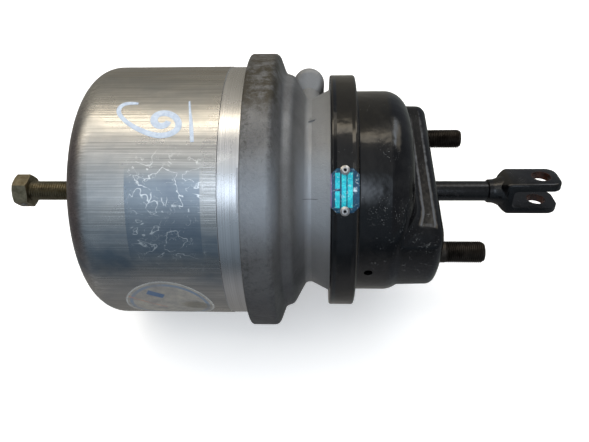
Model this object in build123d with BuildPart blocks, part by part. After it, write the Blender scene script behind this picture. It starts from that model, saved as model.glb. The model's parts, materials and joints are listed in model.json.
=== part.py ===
from build123d import *

import os
from math import atan2, cos, degrees, radians, sin, tan

# Spring brake chamber for an air-braked axle, in millimetres.
# X runs along the push rod towards the yoke, and X = 0 is the mounting pad's face.
# The two mounting studs lie on Y. Angles about X are counted from +Y towards +Z.

# ---- driving dimensions -------------------------------------------------------------

# fits between pieces
slide_gap = 0.06        # radial clearance of what turns or slides in a bore
loose_gap = 0.3         # clearance of what only lies close
seal_squeeze = 0.4      # how much flatter a seal lies in its groove
rim_round = 1.5         # rounding of pressed and turned rims

# service housing: pressed steel bowl with a raised mounting pad
sheet = 3.5             # thickness of the pressed steel
bowl_step = 1.5         # bowl's radius past the pad's root
bowl_corner = 18.0
bowl_depth = 50.7       # clamp joint to the bowl's end
pad_height = 21.0       # pad face above the bowl's end
pad_half_width = 34.0
pad_margin = 17.65      # pad's root past the studs' centres, along Y
pad_corner = 16.0       # plan corners of the pad
pad_draft = 1.5         # degrees
pad_edge = 8.0          # rounding of the pad's top edge
pad_root = 8.0          # rounding where the pad rises from the bowl
rod_hole_radius = 13.0
drain_radius = 3.2
drain_back = 52.8       # drain holes behind the pad face

# mounting studs
stud_spacing = 120.7
stud_radius = 8.0
stud_serration = 0.4    # the pressed-in root's rise over the thread
stud_length = 33.5
stud_tip = 4.5          # length of the tapered tip
stud_head_radius = 11.0
stud_head = 5.0

# clamp joint between the two chambers
clamp_step = 12.3       # ring's radius past the bowl's
clamp_width = 19.0
clamp_floor = 3.2       # ring thickness over the groove
clamp_depth = 9.8       # ring's radial depth
clamp_flare = 20.0      # degrees that each groove wall leans
groove_half = 5.2       # half width of the groove at its floor
lip_gap = 0.4           # between the lips' rims and the groove's floor
clamp_angle = -20.0     # where the ring is split
clamp_split = 8.0
lug_thick = 9.0
lug_rise = 20.0
lug_width = 16.0
clamp_bolt_radius = 4.0
clamp_bolt_flats = 13.0
clamp_bolt_head = 5.3
clamp_nut_height = 6.5
clamp_bolt_spare = 5.0  # thread past the nut

# centre body: casting with the division wall and the two air ports
neck_length = 24.8      # clamp joint to the waist
waist_step = 17.8       # clamp ring's radius past the waist's
waist_flat = 4.4
shoulder_length = 23.5  # waist to the big flange
shoulder_slope = 9.4    # length of the slope from the shoulder to the waist
flange_foot = 5.5       # length of the slope from the flange to the shoulder
foot_rise = 2.0         # that slope's radius past the shoulder
flange_round = 4.5
foot_round = 4.0
shoulder_round = 6.0
shoulder_step = 7.5     # cylinder's radius past the shoulder's
flange_wall = 9.3       # flange's radius past the cylinder's
flange_width = 20.5
body_wall = 8.0
throat_wall = 5.6       # wall beside the clamp joint
throat_back = 6.3       # from the clamp joint to the throat's edge
chamber_draft = 3.0     # how much the chamber narrows from the waist's bore to the waist
chamber_corner = 5.0    # cut corner at the division wall
division = 10.0         # thickness of the division wall
division_back = 7.1     # its service face behind the waist
hub_radius = 30.0
hub_length = 22.4
socket_depth = 17.0     # how far the cylinder enters the flange
port_angle = -49.0      # way that both ports face
port_boss_radius = 12.7
port_back = 1.2         # port axes behind the waist
port_radius = 7.25      # tapping bore of M16 x 1.5
port_depth = 14.0
port_rise = 15.0        # service port's axis above the waist
port_spacing = 44.0     # between the service port above and the parking port below
port_start = 7.0        # closed end of the service port's boss from the middle
port_boss_length = 43.0
port_web = 16.0         # width of the web that carries the service port's boss
boss_round = 5.0        # rounding of the bosses' closed ends
boss_chamfer = 1.0
lower_port_rise = 6.0   # parking port's mouth past the waist
rib_radius = 10.0       # cast rib from the service port's boss to the neck's near side
rib_start = 5.0         # where the rib starts inside the boss's closed end
rib_lower = 13.0        # and how far below the boss's axis
rib_length = 72.0
rib_drop = 28.0         # degrees that the rib drops
rib_lean = 5.0          # degrees that it leans towards the clamp joint
passage_radius = 4.0

# spring cylinder
cylinder_radius = 99.0
cylinder_wall = 5.0
cylinder_length = 121.5  # flange to the end's outer edge
cylinder_corner = 21.0
end_dish = 4.0          # how far the end bulges
dish_round = 4.0
end_hub_radius = 26.0
end_hub = 9.0           # the hub's face past the end's outer edge
turned_length = 15.8    # machined stretch outside the flange
turned_cut = 0.4
insert_radius = 15.0
hub_draft = 2.0         # how much wider the hub is at its foot
insert_inner = 10.0     # the insert's length inside the end's inner face
insert_step = 3.0       # the insert is slimmer inside by this much
socket_fit = 0.1        # clearance between the cylinder and its socket
socket_taper = 10.0     # how far the socket's floor slopes in to the division wall
ring_section = 4.0      # lock ring
ring_depth = 7.0        # lock ring's middle inside the flange face
ring_bite = 1.8         # how deep the ring sits in the cylinder
ring_tab_angle = 17.0   # arc of the ring's pull tab, degrees
ring_tab_out = 2.3
ring_open = 5.0         # the lock ring's open stretch, degrees
tab_gap = 0.5           # the flange's slot past each end of the tab, degrees
seal_section = 3.0
seal_depth = 13.5       # cylinder seal's middle inside the flange face

# parking piston, caged
stroke = 57.0           # of both chambers
piston_rest_gap = 3.0   # left between piston and hub at the end of its stroke
piston_length = 19.0
piston_web = 7.0
piston_skirt = 7.6
piston_side = 0.4       # radial clearance of the piston in the cylinder
piston_edge = 3.0       # cut corner at the piston's front
piston_hub_radius = 24.0
piston_seal_back = 4.0  # seal groove behind the piston's front
piston_seal_width = 4.0
piston_guide_front = 2.0  # guide groove before the piston's rear
piston_guide_width = 5.0
piston_guide_depth = 2.0
tube_radius = 16.0
tube_wall = 3.2
tube_stop = 5.0         # shoulder that the release bolt pulls on
tube_stop_radius = 9.0
tube_sunk = 1.0         # the tube's end behind the division wall
bush_back = 3.0         # guide bush from the hub's rear
bush_length = 7.0
bush_thick = 2.5
tube_seal_sunk = 4.0    # tube seal behind the division wall
tube_seal_width = 4.0
tube_seal_thick = 3.5
pad_head_radius = 15.2
pad_head = 2.3          # thrust pad proud of the division wall
pad_head_round = 1.2
pad_shank = 9.0
spring_wire = 6.0       # power spring, wire radius
spring_side = 8.3       # widest turn clear of the cylinder's wall, for its rounded corner
spring_small = 50.0
spring_turns = 4.5

# push rod group
rod_radius = 8.0
plate_step = 18.0       # waist's radius past the push plate's
plate_thick = 3.5
plate_rim = 9.7
plate_bend = 3.2        # the rim's flare
plate_hub_radius = 14.0
plate_hub = 6.2
diaphragm_thick = 3.0
diaphragm_corner = 5.0  # how far the diaphragm's corner turns up
diaphragm_side = 2.3    # clearance between the diaphragm and the chamber's wall
return_wire = 2.5       # return spring, wire radius
return_step = 12.0      # push plate's radius past the return spring's first turn
return_small = 16.5
return_turns = 5.0
dust_seal_radius = 16.5
dust_seal_thick = 3.5
dust_lip = 1.0          # the lip that enters the rod's hole
dust_lip_thick = 3.0
rod_chamfer = 1.5

# yoke
yoke_start = 46.0
yoke_neck_radius = 9.0
yoke_shoulder = 61.0
yoke_slot = 64.0
yoke_pin_x = 87.0
yoke_tip = 103.4
yoke_thick = 27.5       # over both ears, along the pin
yoke_gap = 15.0
yoke_width = 27.0
yoke_tip_corner = 9.0
yoke_edge = 5.0
yoke_slot_corner = 3.0
yoke_pin_radius = 7.1
yoke_angle = 73.0       # way that the pin points
rod_end = 60.0

# release bolt, wound out
bolt_radius = 8.0
bolt_chamfer = 1.0
bolt_sunk = 1.0         # bolt's end inside the hex's face
hex_length = 12.3
hex_flats = 24.0
hex_bevel = 1.6
hex_angle = 54.5        # way that one corner of the hex points
collar_radius = 12.0
collar_thick = 5.0
bolt_head_radius = 10.5
bolt_head = 3.0
pin_radius = 2.5
pin_wall = 0.8
pin_proud = 0.6

# nameplate on the clamp ring
plate_angle = 131.0
nameplate_width = 19.0
nameplate_arc = 29.5
nameplate_thick = 0.5
nameplate_film = 0.06   # adhesive film under it
nameplate_cut = 4.0
rivet_radius = 3.2
rivet_crown = 2.0       # radius of the head's flat top
rivet_rise = 1.6
rivet_eye = 1.0         # the rivets are hollow
rivet_shank = 1.6
rivet_length = 2.8
rivet_spacing = 27.0

# ---- radii and stations along X, worked out from the sizes above --------------------

pad_reach = stud_spacing / 2 + pad_margin
bowl_radius = pad_reach + bowl_step
clamp_radius = bowl_radius + clamp_step
waist_radius = clamp_radius - waist_step
shoulder_radius = cylinder_radius - shoulder_step
flange_radius = cylinder_radius + flange_wall
plate_radius = waist_radius - plate_step
return_big = plate_radius - return_step
port_height = waist_radius + port_rise
port_face = port_start + port_boss_length
lower_port_face = waist_radius + lower_port_rise

bowl_end = -pad_height
joint_x = bowl_end - bowl_depth
waist_x = joint_x - neck_length
flange_front = waist_x - shoulder_length
flange_back = flange_front - flange_width
socket_floor = flange_back + socket_depth
division_front = waist_x - division_back
division_rear = division_front - division
deep_radius = waist_radius - body_wall
throat_x = joint_x - throat_back
hub_rear = division_front - hub_length
cylinder_end = flange_back - cylinder_length
cylinder_floor = cylinder_end + cylinder_wall
end_hub_face = cylinder_end - end_hub
piston_front = hub_rear - piston_rest_gap - stroke
piston_rear = piston_front - piston_length
piston_floor = piston_front - piston_web
tube_rear = piston_rear + loose_gap
tube_stop_front = tube_rear + tube_stop
pad_front = division_front + pad_head
diaphragm_rear = pad_front + loose_gap
diaphragm_front = diaphragm_rear + diaphragm_thick
plate_rear = diaphragm_front + loose_gap
plate_front = plate_rear + plate_thick
port_x = waist_x - port_back
bead = diaphragm_thick / 2
lip_radius = clamp_radius - clamp_floor - lip_gap
groove_floor = clamp_radius - clamp_floor
clamp_inner = clamp_radius - clamp_depth
neck_radius = clamp_inner - lip_gap
seat_radius = clamp_inner - body_wall / 2
throat_radius = neck_radius - throat_wall
cylinder_bore = cylinder_radius - cylinder_wall
turned_radius = cylinder_radius - turned_cut
spring_big = cylinder_bore - spring_wire - spring_side
collar_rear = tube_stop_front + loose_gap
collar_front = collar_rear + collar_thick
bolt_front = collar_front + loose_gap + bolt_head
hex_front = end_hub_face - stroke - loose_gap
hex_rear = hex_front - hex_length

os.makedirs("parts", exist_ok=True)


# ---- helpers ------------------------------------------------------------------------

def way(angle):
    """The direction square to the main axis at an angle about it."""
    return Vector(0, cos(radians(angle)), sin(radians(angle)))


def radial_plane(angle):
    """A plane through the main axis: its x is X, its y points out at the angle."""
    return Plane((0, 0, 0), x_dir=(1, 0, 0), z_dir=way(angle + 90))


def cross_plane(x, angle):
    """A plane square to the main axis at x, with its own x pointing at the angle."""
    return Plane((x, 0, 0), x_dir=way(angle), z_dir=(1, 0, 0))


def flare(radius):
    """Half the clamp groove's width at a radius."""
    return groove_half + (groove_floor - radius) * tan(radians(clamp_flare))


def corners(outline, *places):
    """The corners of a sketch that lie nearest to the given places."""
    return [outline.vertices().sort_by_distance((x, y, 0))[0] for x, y in places]


def face(*points):
    """A filled outline with straight sides, drawn in the sketch that is open."""
    return Polygon(*points, align=None)


def save(part, label, color):
    """Labels a finished piece and writes it."""
    part.label = label
    part.color = Color(*color)
    export_step(part, f"parts/{label}.step")


def ring(start, stop, inner, outer):
    """A plain turned ring about the main axis."""
    with BuildPart() as turned:
        with BuildSketch(Plane.XY):
            face((start, inner), (stop, inner), (stop, outer), (start, outer))
        revolve(axis=Axis.X)
    return turned.part


steel_black = (0.05, 0.05, 0.06)
cast_grey = (0.45, 0.46, 0.48)
bright = (0.72, 0.71, 0.69)
rubber = (0.08, 0.08, 0.08)
olive = (0.35, 0.32, 0.22)


# ---- service housing ----------------------------------------------------------------

def housing_form(inset):
    """The bowl and its raised pad as one solid, with every wall moved in by inset."""
    radius, end = bowl_radius - inset, bowl_end - inset
    reach, half_width = pad_reach - inset, pad_half_width - inset
    root_x = bowl_end - bowl_corner
    with BuildPart() as form:
        with BuildSketch(Plane.XY) as bowl:
            face((joint_x + bead, 0), (end, 0), (end, radius), (joint_x + bead, radius))
            fillet(corners(bowl, (end, radius)), bowl_corner - inset)
        revolve(axis=Axis.X)
        with BuildSketch(Plane.YZ.offset(root_x)) as pad:
            Circle(reach)
            Rectangle(2 * reach, 2 * half_width, mode=Mode.INTERSECT)
            fillet(pad.vertices(), pad_corner - inset)
        extrude(amount=-root_x - inset, taper=pad_draft)
        fillet(form.edges(Select.NEW), pad_root + inset)
        fillet(form.faces().sort_by(Axis.X)[-1].edges(), pad_edge - inset)
    return form.part


outer_form = housing_form(0)
inner_form = housing_form(sheet)

with BuildPart() as service_housing:
    add(outer_form)
    with BuildSketch(Plane.XY) as lip:
        face(
            (joint_x + bead, bowl_radius - sheet / 2),
            (joint_x + bead, lip_radius),
            (joint_x + flare(lip_radius), lip_radius),
            (joint_x + flare(neck_radius), neck_radius),
            (joint_x + flare(neck_radius) + sheet, bowl_radius),
            (joint_x + flare(neck_radius) + sheet, bowl_radius - sheet / 2),
        )
        fillet(corners(lip, (joint_x + flare(lip_radius), lip_radius)), rim_round)
    revolve(axis=Axis.X)
    add(inner_form, mode=Mode.SUBTRACT)
    with BuildSketch(Plane.YZ.offset(-sheet)):
        Circle(rod_hole_radius)
        with Locations((-stud_spacing / 2, 0), (stud_spacing / 2, 0)):
            Circle(stud_radius + stud_serration)
    extrude(amount=sheet, mode=Mode.SUBTRACT)
    with BuildSketch(Plane.XZ) as drains:
        with Locations((-drain_back, 0)):
            Circle(drain_radius)
    extrude(amount=bowl_radius, both=True, mode=Mode.SUBTRACT)

save(service_housing.part, "service_housing", steel_black)

# The studs' heads are cut flat on the side where the pad's wall is near.
with BuildPart() as mounting_studs:
    drawn_in = (pad_height + bowl_corner) * tan(radians(pad_draft))
    head_limit = pad_reach - drawn_in - pad_edge - stud_spacing / 2
    for side in (0, 180):
        with BuildSketch(Plane.XY.rotated((side, 0, 0))) as stud:
            low, high = stud_spacing / 2, stud_spacing / 2 + stud_radius
            face(
                (-sheet, low),
                (stud_length, low),
                (stud_length, high - stud_tip / 2),
                (stud_length - stud_tip, high),
                (0, high),
                (0, high + stud_serration),
                (-sheet, high + stud_serration),
            )
        revolve(axis=Axis((0, stud_spacing / 2 * cos(radians(side)), 0), (1, 0, 0)))
        with BuildSketch(Plane.YZ.offset(-sheet - stud_head)) as head:
            with Locations((stud_spacing / 2 * cos(radians(side)), 0)):
                Circle(stud_head_radius)
            with Locations((stud_spacing / 2 * cos(radians(side)), 0)):
                Rectangle(2 * head_limit, 2 * stud_head_radius, mode=Mode.INTERSECT)
        extrude(amount=stud_head)

save(mounting_studs.part, "mounting_studs", (0.13, 0.10, 0.09))

with BuildPart() as rod_dust_seal:
    with BuildSketch(Plane.XY):
        face(
            (-sheet - dust_seal_thick, rod_radius + slide_gap),
            (-sheet + dust_lip, rod_radius + slide_gap),
            (-sheet + dust_lip, rod_radius + dust_lip_thick),
            (-sheet, rod_radius + dust_lip_thick + dust_lip),
            (-sheet, dust_seal_radius),
            (-sheet - dust_seal_thick, dust_seal_radius),
        )
    revolve(axis=Axis.X)

save(rod_dust_seal.part, "rod_dust_seal", rubber)


# ---- clamp ring ---------------------------------------------------------------------

rivet_tilt = degrees(rivet_spacing / 2 / clamp_radius)
split_angle = degrees(clamp_split / clamp_radius)
lug_radius = clamp_radius + lug_rise / 2
nameplate_seat = clamp_radius + nameplate_film
rivet_seat = nameplate_seat + nameplate_thick

with BuildPart() as clamp_band:
    half = clamp_width / 2
    with BuildSketch(radial_plane(clamp_angle + split_angle / 2)) as section:
        face(
            (joint_x - half, clamp_inner),
            (joint_x - half, clamp_radius),
            (joint_x + half, clamp_radius),
            (joint_x + half, clamp_inner),
            (joint_x + flare(clamp_inner), clamp_inner),
            (joint_x + groove_half, groove_floor),
            (joint_x - groove_half, groove_floor),
            (joint_x - flare(clamp_inner), clamp_inner),
        )
        fillet(
            corners(section, (joint_x - half, clamp_radius), (joint_x + half, clamp_radius)),
            rim_round,
        )
    revolve(axis=Axis.X, revolution_arc=360 - split_angle)
    lug_plane = radial_plane(clamp_angle)
    with BuildSketch(lug_plane.offset(clamp_split / 2)) as lug:
        with Locations((joint_x, clamp_radius - clamp_floor / 2)):
            Rectangle(lug_width, lug_rise + clamp_floor / 2, align=(Align.CENTER, Align.MIN))
        fillet(lug.vertices().sort_by(Axis.Y)[-2:], lug_width / 3)
        with Locations((joint_x, lug_radius)):
            Circle(clamp_bolt_radius + loose_gap, mode=Mode.SUBTRACT)
    extrude(amount=lug_thick)
    mirror(about=lug_plane)
    for tilt in (-rivet_tilt, rivet_tilt):
        outward = way(plate_angle + tilt)
        with BuildSketch(Plane(outward * groove_floor + Vector(joint_x), z_dir=outward)):
            Circle(rivet_shank)
        extrude(amount=clamp_depth, mode=Mode.SUBTRACT)

save(clamp_band.part, "clamp_band", steel_black)

with BuildPart() as clamp_bolt:
    lug_end = clamp_split / 2 + lug_thick
    with BuildSketch(lug_plane.offset(lug_end)):
        with Locations((joint_x, lug_radius)):
            RegularPolygon(clamp_bolt_flats / 2, 6, major_radius=False)
    extrude(amount=clamp_bolt_head)
    with BuildSketch(lug_plane.offset(-lug_end - clamp_nut_height - clamp_bolt_spare)):
        with Locations((joint_x, lug_radius)):
            Circle(clamp_bolt_radius)
    extrude(amount=2 * lug_end + clamp_nut_height + clamp_bolt_spare)

save(clamp_bolt.part, "clamp_bolt", olive)

with BuildPart() as clamp_nut:
    with BuildSketch(lug_plane.offset(-lug_end)):
        with Locations((joint_x, lug_radius)):
            RegularPolygon(clamp_bolt_flats / 2, 6, major_radius=False)
            Circle(clamp_bolt_radius, mode=Mode.SUBTRACT)
    extrude(amount=-clamp_nut_height)

save(clamp_nut.part, "clamp_nut", olive)

with BuildPart() as nameplate:
    arc = degrees(nameplate_arc / clamp_radius)
    half = nameplate_width / 2
    with BuildSketch(radial_plane(plate_angle - arc / 2)):
        face(
            (joint_x - half, nameplate_seat),
            (joint_x + half, nameplate_seat),
            (joint_x + half, rivet_seat),
            (joint_x - half, rivet_seat),
        )
    revolve(axis=Axis.X, revolution_arc=arc)
    outward = way(plate_angle)
    with BuildSketch(
        Plane(outward * clamp_inner + Vector(joint_x), x_dir=(1, 0, 0), z_dir=outward)
    ) as shape:
        Rectangle(nameplate_width, nameplate_arc)
        chamfer(shape.vertices(), nameplate_cut)
    extrude(amount=2 * clamp_depth, mode=Mode.INTERSECT)
    for tilt in (-rivet_tilt, rivet_tilt):
        outward = way(plate_angle + tilt)
        with BuildSketch(Plane(outward * clamp_inner + Vector(joint_x), z_dir=outward)):
            Circle(rivet_shank)
        extrude(amount=2 * clamp_depth, mode=Mode.SUBTRACT)

save(nameplate.part, "nameplate", (0.05, 0.25, 0.5))

with BuildPart() as nameplate_rivets:
    for tilt in (-rivet_tilt, rivet_tilt):
        outward = way(plate_angle + tilt)
        with BuildSketch(radial_plane(plate_angle + tilt)):
            face(
                (joint_x, rivet_seat),
                (joint_x, rivet_seat - rivet_length),
                (joint_x + rivet_shank, rivet_seat - rivet_length),
                (joint_x + rivet_shank, rivet_seat),
                (joint_x + rivet_radius, rivet_seat),
                (joint_x + rivet_radius, rivet_seat + rivet_rise / 2),
                (joint_x + rivet_crown, rivet_seat + rivet_rise),
                (joint_x + rivet_eye, rivet_seat + rivet_rise),
                (joint_x + rivet_eye, rivet_seat),
            )
        revolve(axis=Axis((joint_x, 0, 0), outward))

save(nameplate_rivets.part, "nameplate_rivets", bright)


# ---- centre body --------------------------------------------------------------------

with BuildPart() as center_body:
    shoulder_foot = waist_x - waist_flat / 2
    shoulder_top = shoulder_foot - shoulder_slope
    foot_x = flange_front + flange_foot
    with BuildSketch(Plane.XY) as outside:
        face(
            (flange_back, 0),
            (flange_back, flange_radius),
            (flange_front, flange_radius),
            (foot_x, shoulder_radius + foot_rise),
            (shoulder_top, shoulder_radius),
            (shoulder_foot, waist_radius),
            (shoulder_foot + waist_flat, waist_radius),
            (joint_x - flare(neck_radius), neck_radius),
            (joint_x - flare(lip_radius), lip_radius),
            (joint_x - bead, lip_radius),
            (joint_x - bead, 0),
        )
        for place, radius in (
            ((flange_back, flange_radius), rim_round),
            ((flange_front, flange_radius), flange_round),
            ((foot_x, shoulder_radius + foot_rise), foot_round),
            ((shoulder_top, shoulder_radius), shoulder_round),
            ((shoulder_foot, waist_radius), foot_round),
        ):
            fillet(corners(outside, place), radius)
    revolve(axis=Axis.X)

    # port bosses: drawn on a plane whose x is the way they face
    across = cross_plane(port_x, port_angle)
    boss_rows = (
        (port_height, port_face, port_boss_length),
        (port_height - port_spacing, lower_port_face, lower_port_face - waist_radius / 2),
    )
    for height, mouth, length in boss_rows:
        with BuildSketch(across) as boss:
            face(
                (mouth - length, height),
                (mouth, height),
                (mouth, height + port_boss_radius),
                (mouth - length, height + port_boss_radius),
            )
            fillet(corners(boss, (mouth - length, height + port_boss_radius)), boss_round)
            chamfer(corners(boss, (mouth, height + port_boss_radius)), boss_chamfer)
        revolve(axis=Axis(across.from_local_coords((0, height, 0)), across.x_dir))
    web_x = port_start + port_boss_length / 2
    web_top = across.from_local_coords((web_x, port_height, 0))
    with BuildSketch(Plane(web_top, x_dir=across.x_dir, z_dir=-across.y_dir)):
        Rectangle(port_boss_length - port_web, port_web)
    extrude(amount=port_height - waist_radius / 2)
    rib_top = across.from_local_coords((port_start + rib_start, port_height - rib_lower, 0))
    rib_way = way(port_angle + 180 + rib_drop) + Vector(tan(radians(rib_lean)))
    with BuildSketch(Plane(rib_top, z_dir=rib_way)):
        Circle(rib_radius)
    extrude(amount=rib_length)

    # service chamber, division wall, parking chamber and the cylinder's socket
    with BuildSketch(Plane.XY) as service_side:
        chamber_foot = deep_radius - chamber_draft
        face(
            (joint_x, 0),
            (joint_x, seat_radius),
            (throat_x, throat_radius),
            (division_front + chamber_corner, chamber_foot),
            (division_front, chamber_foot - chamber_corner),
            (division_front, 0),
        )
    revolve(axis=Axis.X, mode=Mode.SUBTRACT)
    with BuildSketch(Plane.XY) as parking_side:
        socket = turned_radius + socket_fit
        ledge = socket - 2 * cylinder_wall
        face(
            (flange_back, 0),
            (flange_back, socket),
            (socket_floor, socket),
            (socket_floor, ledge),
            (division_rear - socket_taper / 2, ledge),
            (division_rear, ledge - socket_taper),
            (division_rear, hub_radius + hub_draft),
            (hub_rear, hub_radius),
            (hub_rear, 0),
        )
    revolve(axis=Axis.X, mode=Mode.SUBTRACT)
    with BuildSketch(Plane.XY):
        bore = tube_radius + loose_gap
        face((hub_rear, 0), (division_front, 0), (division_front, bore), (hub_rear, bore))
    revolve(axis=Axis.X, mode=Mode.SUBTRACT)
    # grooves for the lock ring, the cylinder's seal and the tube's bush and seal
    ring_x = flange_back + ring_depth
    seal_x = flange_back + seal_depth
    ring_groove = (ring_x - ring_section / 2, ring_x + ring_section / 2)
    seal_groove = (seal_x - seal_section / 2, seal_x + seal_section / 2)
    ring_top = turned_radius - ring_bite + ring_section
    bush_groove = (hub_rear + bush_back, hub_rear + bush_back + bush_length)
    tube_seal_stop = division_front - tube_seal_sunk
    tube_seal_groove = (tube_seal_stop - tube_seal_width, tube_seal_stop)
    cylinder_seal_outer = turned_radius + seal_section - seal_squeeze
    for (start, stop), inner, outer in (
        (ring_groove, turned_radius, ring_top),
        (seal_groove, turned_radius, cylinder_seal_outer),
        (bush_groove, tube_radius, tube_radius + bush_thick),
        (tube_seal_groove, tube_radius, tube_radius + tube_seal_thick),
    ):
        with BuildSketch(Plane.XY):
            face((start, inner), (stop, inner), (stop, outer), (start, outer))
        revolve(axis=Axis.X, mode=Mode.SUBTRACT)
    tab_start = plate_angle - ring_tab_angle / 2
    with BuildSketch(radial_plane(tab_start - tab_gap)):
        face(
            (flange_back, turned_radius),
            (ring_x, turned_radius),
            (ring_x, ring_top),
            (flange_back, ring_top),
        )
    revolve(axis=Axis.X, revolution_arc=ring_tab_angle + 2 * tab_gap, mode=Mode.SUBTRACT)

    # tapped ports and the drilled ways from them into the two chambers
    for height, mouth, length in boss_rows:
        port_plane = Plane(
            across.from_local_coords((mouth, height, 0)), x_dir=(1, 0, 0), z_dir=across.x_dir
        )
        with BuildSketch(port_plane):
            Circle(port_radius)
        extrude(amount=-port_depth, mode=Mode.SUBTRACT)
    upper_floor = across.from_local_coords((port_face - port_depth, port_height, 0))
    with BuildSketch(Plane(upper_floor, z_dir=across.x_dir)):
        Circle(passage_radius)
    extrude(amount=-2 * passage_radius, mode=Mode.SUBTRACT)
    upper_bend = upper_floor - across.x_dir * passage_radius
    with BuildSketch(Plane(upper_bend, z_dir=Vector(port_x) - upper_bend)):
        Circle(passage_radius)
    extrude(amount=port_height - deep_radius + 2 * passage_radius, mode=Mode.SUBTRACT)
    lower_spot = (lower_port_face - port_depth, port_height - port_spacing, 0)
    lower_bend = across.from_local_coords(lower_spot) - across.x_dir * passage_radius * 0.9
    with BuildSketch(Plane(lower_bend, z_dir=(-1, 0, 0))):
        Circle(passage_radius)
    extrude(amount=port_x - division_rear + socket_taper, mode=Mode.SUBTRACT)

save(center_body.part, "center_body", cast_grey)

tube_guide_bush = ring(*bush_groove, tube_radius + slide_gap, tube_radius + bush_thick)
save(tube_guide_bush, "tube_guide_bush", (0.85, 0.82, 0.7))

tube_seal = ring(*tube_seal_groove, tube_radius, tube_radius + tube_seal_thick)
save(tube_seal, "tube_seal", rubber)


# ---- spring cylinder ----------------------------------------------------------------

with BuildPart() as spring_cylinder:
    with BuildSketch(Plane.XY) as wall:
        inner_hub = cylinder_floor + hub_draft
        face(
            (end_hub_face, insert_radius),
            (end_hub_face, end_hub_radius),
            (cylinder_end - end_dish, end_hub_radius + hub_draft),
            (cylinder_end, cylinder_radius),
            (flange_back - turned_length, cylinder_radius),
            (flange_back - turned_length + turned_cut, turned_radius),
            (socket_floor, turned_radius),
            (socket_floor, cylinder_bore),
            (cylinder_floor, cylinder_bore),
            (cylinder_floor, end_hub_radius + hub_draft),
            (inner_hub, end_hub_radius),
            (inner_hub, insert_radius),
        )
        fillet(corners(wall, (cylinder_end, cylinder_radius)), cylinder_corner)
        fillet(corners(wall, (end_hub_face, end_hub_radius)), rim_round)
        fillet(corners(wall, (cylinder_end - end_dish, end_hub_radius + hub_draft)), dish_round)
        fillet(corners(wall, (cylinder_floor, cylinder_bore)), cylinder_corner - cylinder_wall)
    revolve(axis=Axis.X)
    with BuildSketch(Plane.XY):
        start, stop = ring_groove
        bottom = turned_radius - ring_bite
        face((start, bottom), (stop, bottom), (stop, turned_radius), (start, turned_radius))
    revolve(axis=Axis.X, mode=Mode.SUBTRACT)

save(spring_cylinder.part, "spring_cylinder", bright)

with BuildPart() as bolt_insert:
    with BuildSketch(Plane.XY):
        hole = bolt_radius + slide_gap
        face(
            (end_hub_face, hole),
            (end_hub_face, insert_radius),
            (inner_hub, insert_radius),
            (inner_hub, insert_radius - insert_step),
            (cylinder_floor + insert_inner, insert_radius - insert_step),
            (cylinder_floor + insert_inner, hole),
        )
    revolve(axis=Axis.X)

save(bolt_insert.part, "bolt_insert", olive)

cylinder_seal = ring(*seal_groove, turned_radius, cylinder_seal_outer)
save(cylinder_seal, "cylinder_seal", rubber)

# The lock ring is open beside its pull tab, which stands out of the flange's face.
with BuildPart() as lock_ring:
    start, stop = ring_groove
    bottom = turned_radius - ring_bite
    with BuildSketch(radial_plane(tab_start)):
        face((start, bottom), (stop, bottom), (stop, ring_top), (start, ring_top))
    revolve(axis=Axis.X, revolution_arc=360 - ring_open)
    with BuildSketch(radial_plane(tab_start)):
        face(
            (flange_back - ring_tab_out, turned_radius + loose_gap),
            (ring_x, turned_radius + loose_gap),
            (ring_x, ring_top),
            (flange_back - ring_tab_out, ring_top),
        )
    revolve(axis=Axis.X, revolution_arc=ring_tab_angle)

save(lock_ring.part, "lock_ring", (0.5, 0.5, 0.5))


# ---- parking piston and power spring ------------------------------------------------

with BuildPart() as spring_piston:
    piston_radius = cylinder_bore - piston_side
    with BuildSketch(Plane.XY) as half_piston:
        face(
            (piston_rear, tube_radius),
            (piston_front, tube_radius),
            (piston_front, piston_radius - piston_edge),
            (piston_front - piston_edge, piston_radius),
            (piston_rear, piston_radius),
            (piston_rear, piston_radius - piston_skirt),
            (piston_floor, piston_radius - piston_skirt),
            (piston_floor, piston_hub_radius + hub_draft),
            (piston_rear, piston_hub_radius),
        )
    revolve(axis=Axis.X)
    seal_stop = piston_front - piston_seal_back
    piston_seal_groove = (seal_stop - piston_seal_width, seal_stop)
    guide_start = piston_rear + piston_guide_front
    guide_groove = (guide_start, guide_start + piston_guide_width)
    for (start, stop), depth in (
        (piston_seal_groove, piston_seal_width),
        (guide_groove, piston_guide_depth),
    ):
        with BuildSketch(Plane.XY):
            face(
                (start, piston_radius - depth),
                (stop, piston_radius - depth),
                (stop, piston_radius),
                (start, piston_radius),
            )
        revolve(axis=Axis.X, mode=Mode.SUBTRACT)

save(spring_piston.part, "spring_piston", cast_grey)

piston_seal = ring(*piston_seal_groove, piston_radius - piston_seal_width, cylinder_bore)
save(piston_seal, "piston_seal", rubber)

piston_guide_ring = ring(*guide_groove, piston_radius - piston_guide_depth, cylinder_bore)
save(piston_guide_ring, "piston_guide_ring", (0.85, 0.82, 0.7))

with BuildPart() as push_tube:
    tube_front = division_front - tube_sunk
    with BuildSketch(Plane.XY):
        face(
            (tube_rear, tube_stop_radius),
            (tube_rear, tube_radius),
            (tube_front, tube_radius),
            (tube_front, tube_radius - tube_wall),
            (tube_stop_front, tube_radius - tube_wall),
            (tube_stop_front, tube_stop_radius),
        )
    revolve(axis=Axis.X)

save(push_tube.part, "push_tube", bright)

with BuildPart() as thrust_pad:
    with BuildSketch(Plane.XY) as pad_section:
        face(
            (tube_front - pad_shank, 0),
            (pad_front, 0),
            (pad_front, pad_head_radius),
            (tube_front, pad_head_radius),
            (tube_front, tube_radius - tube_wall),
            (tube_front - pad_shank, tube_radius - tube_wall),
        )
        fillet(corners(pad_section, (pad_front, pad_head_radius)), pad_head_round)
    revolve(axis=Axis.X)

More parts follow.
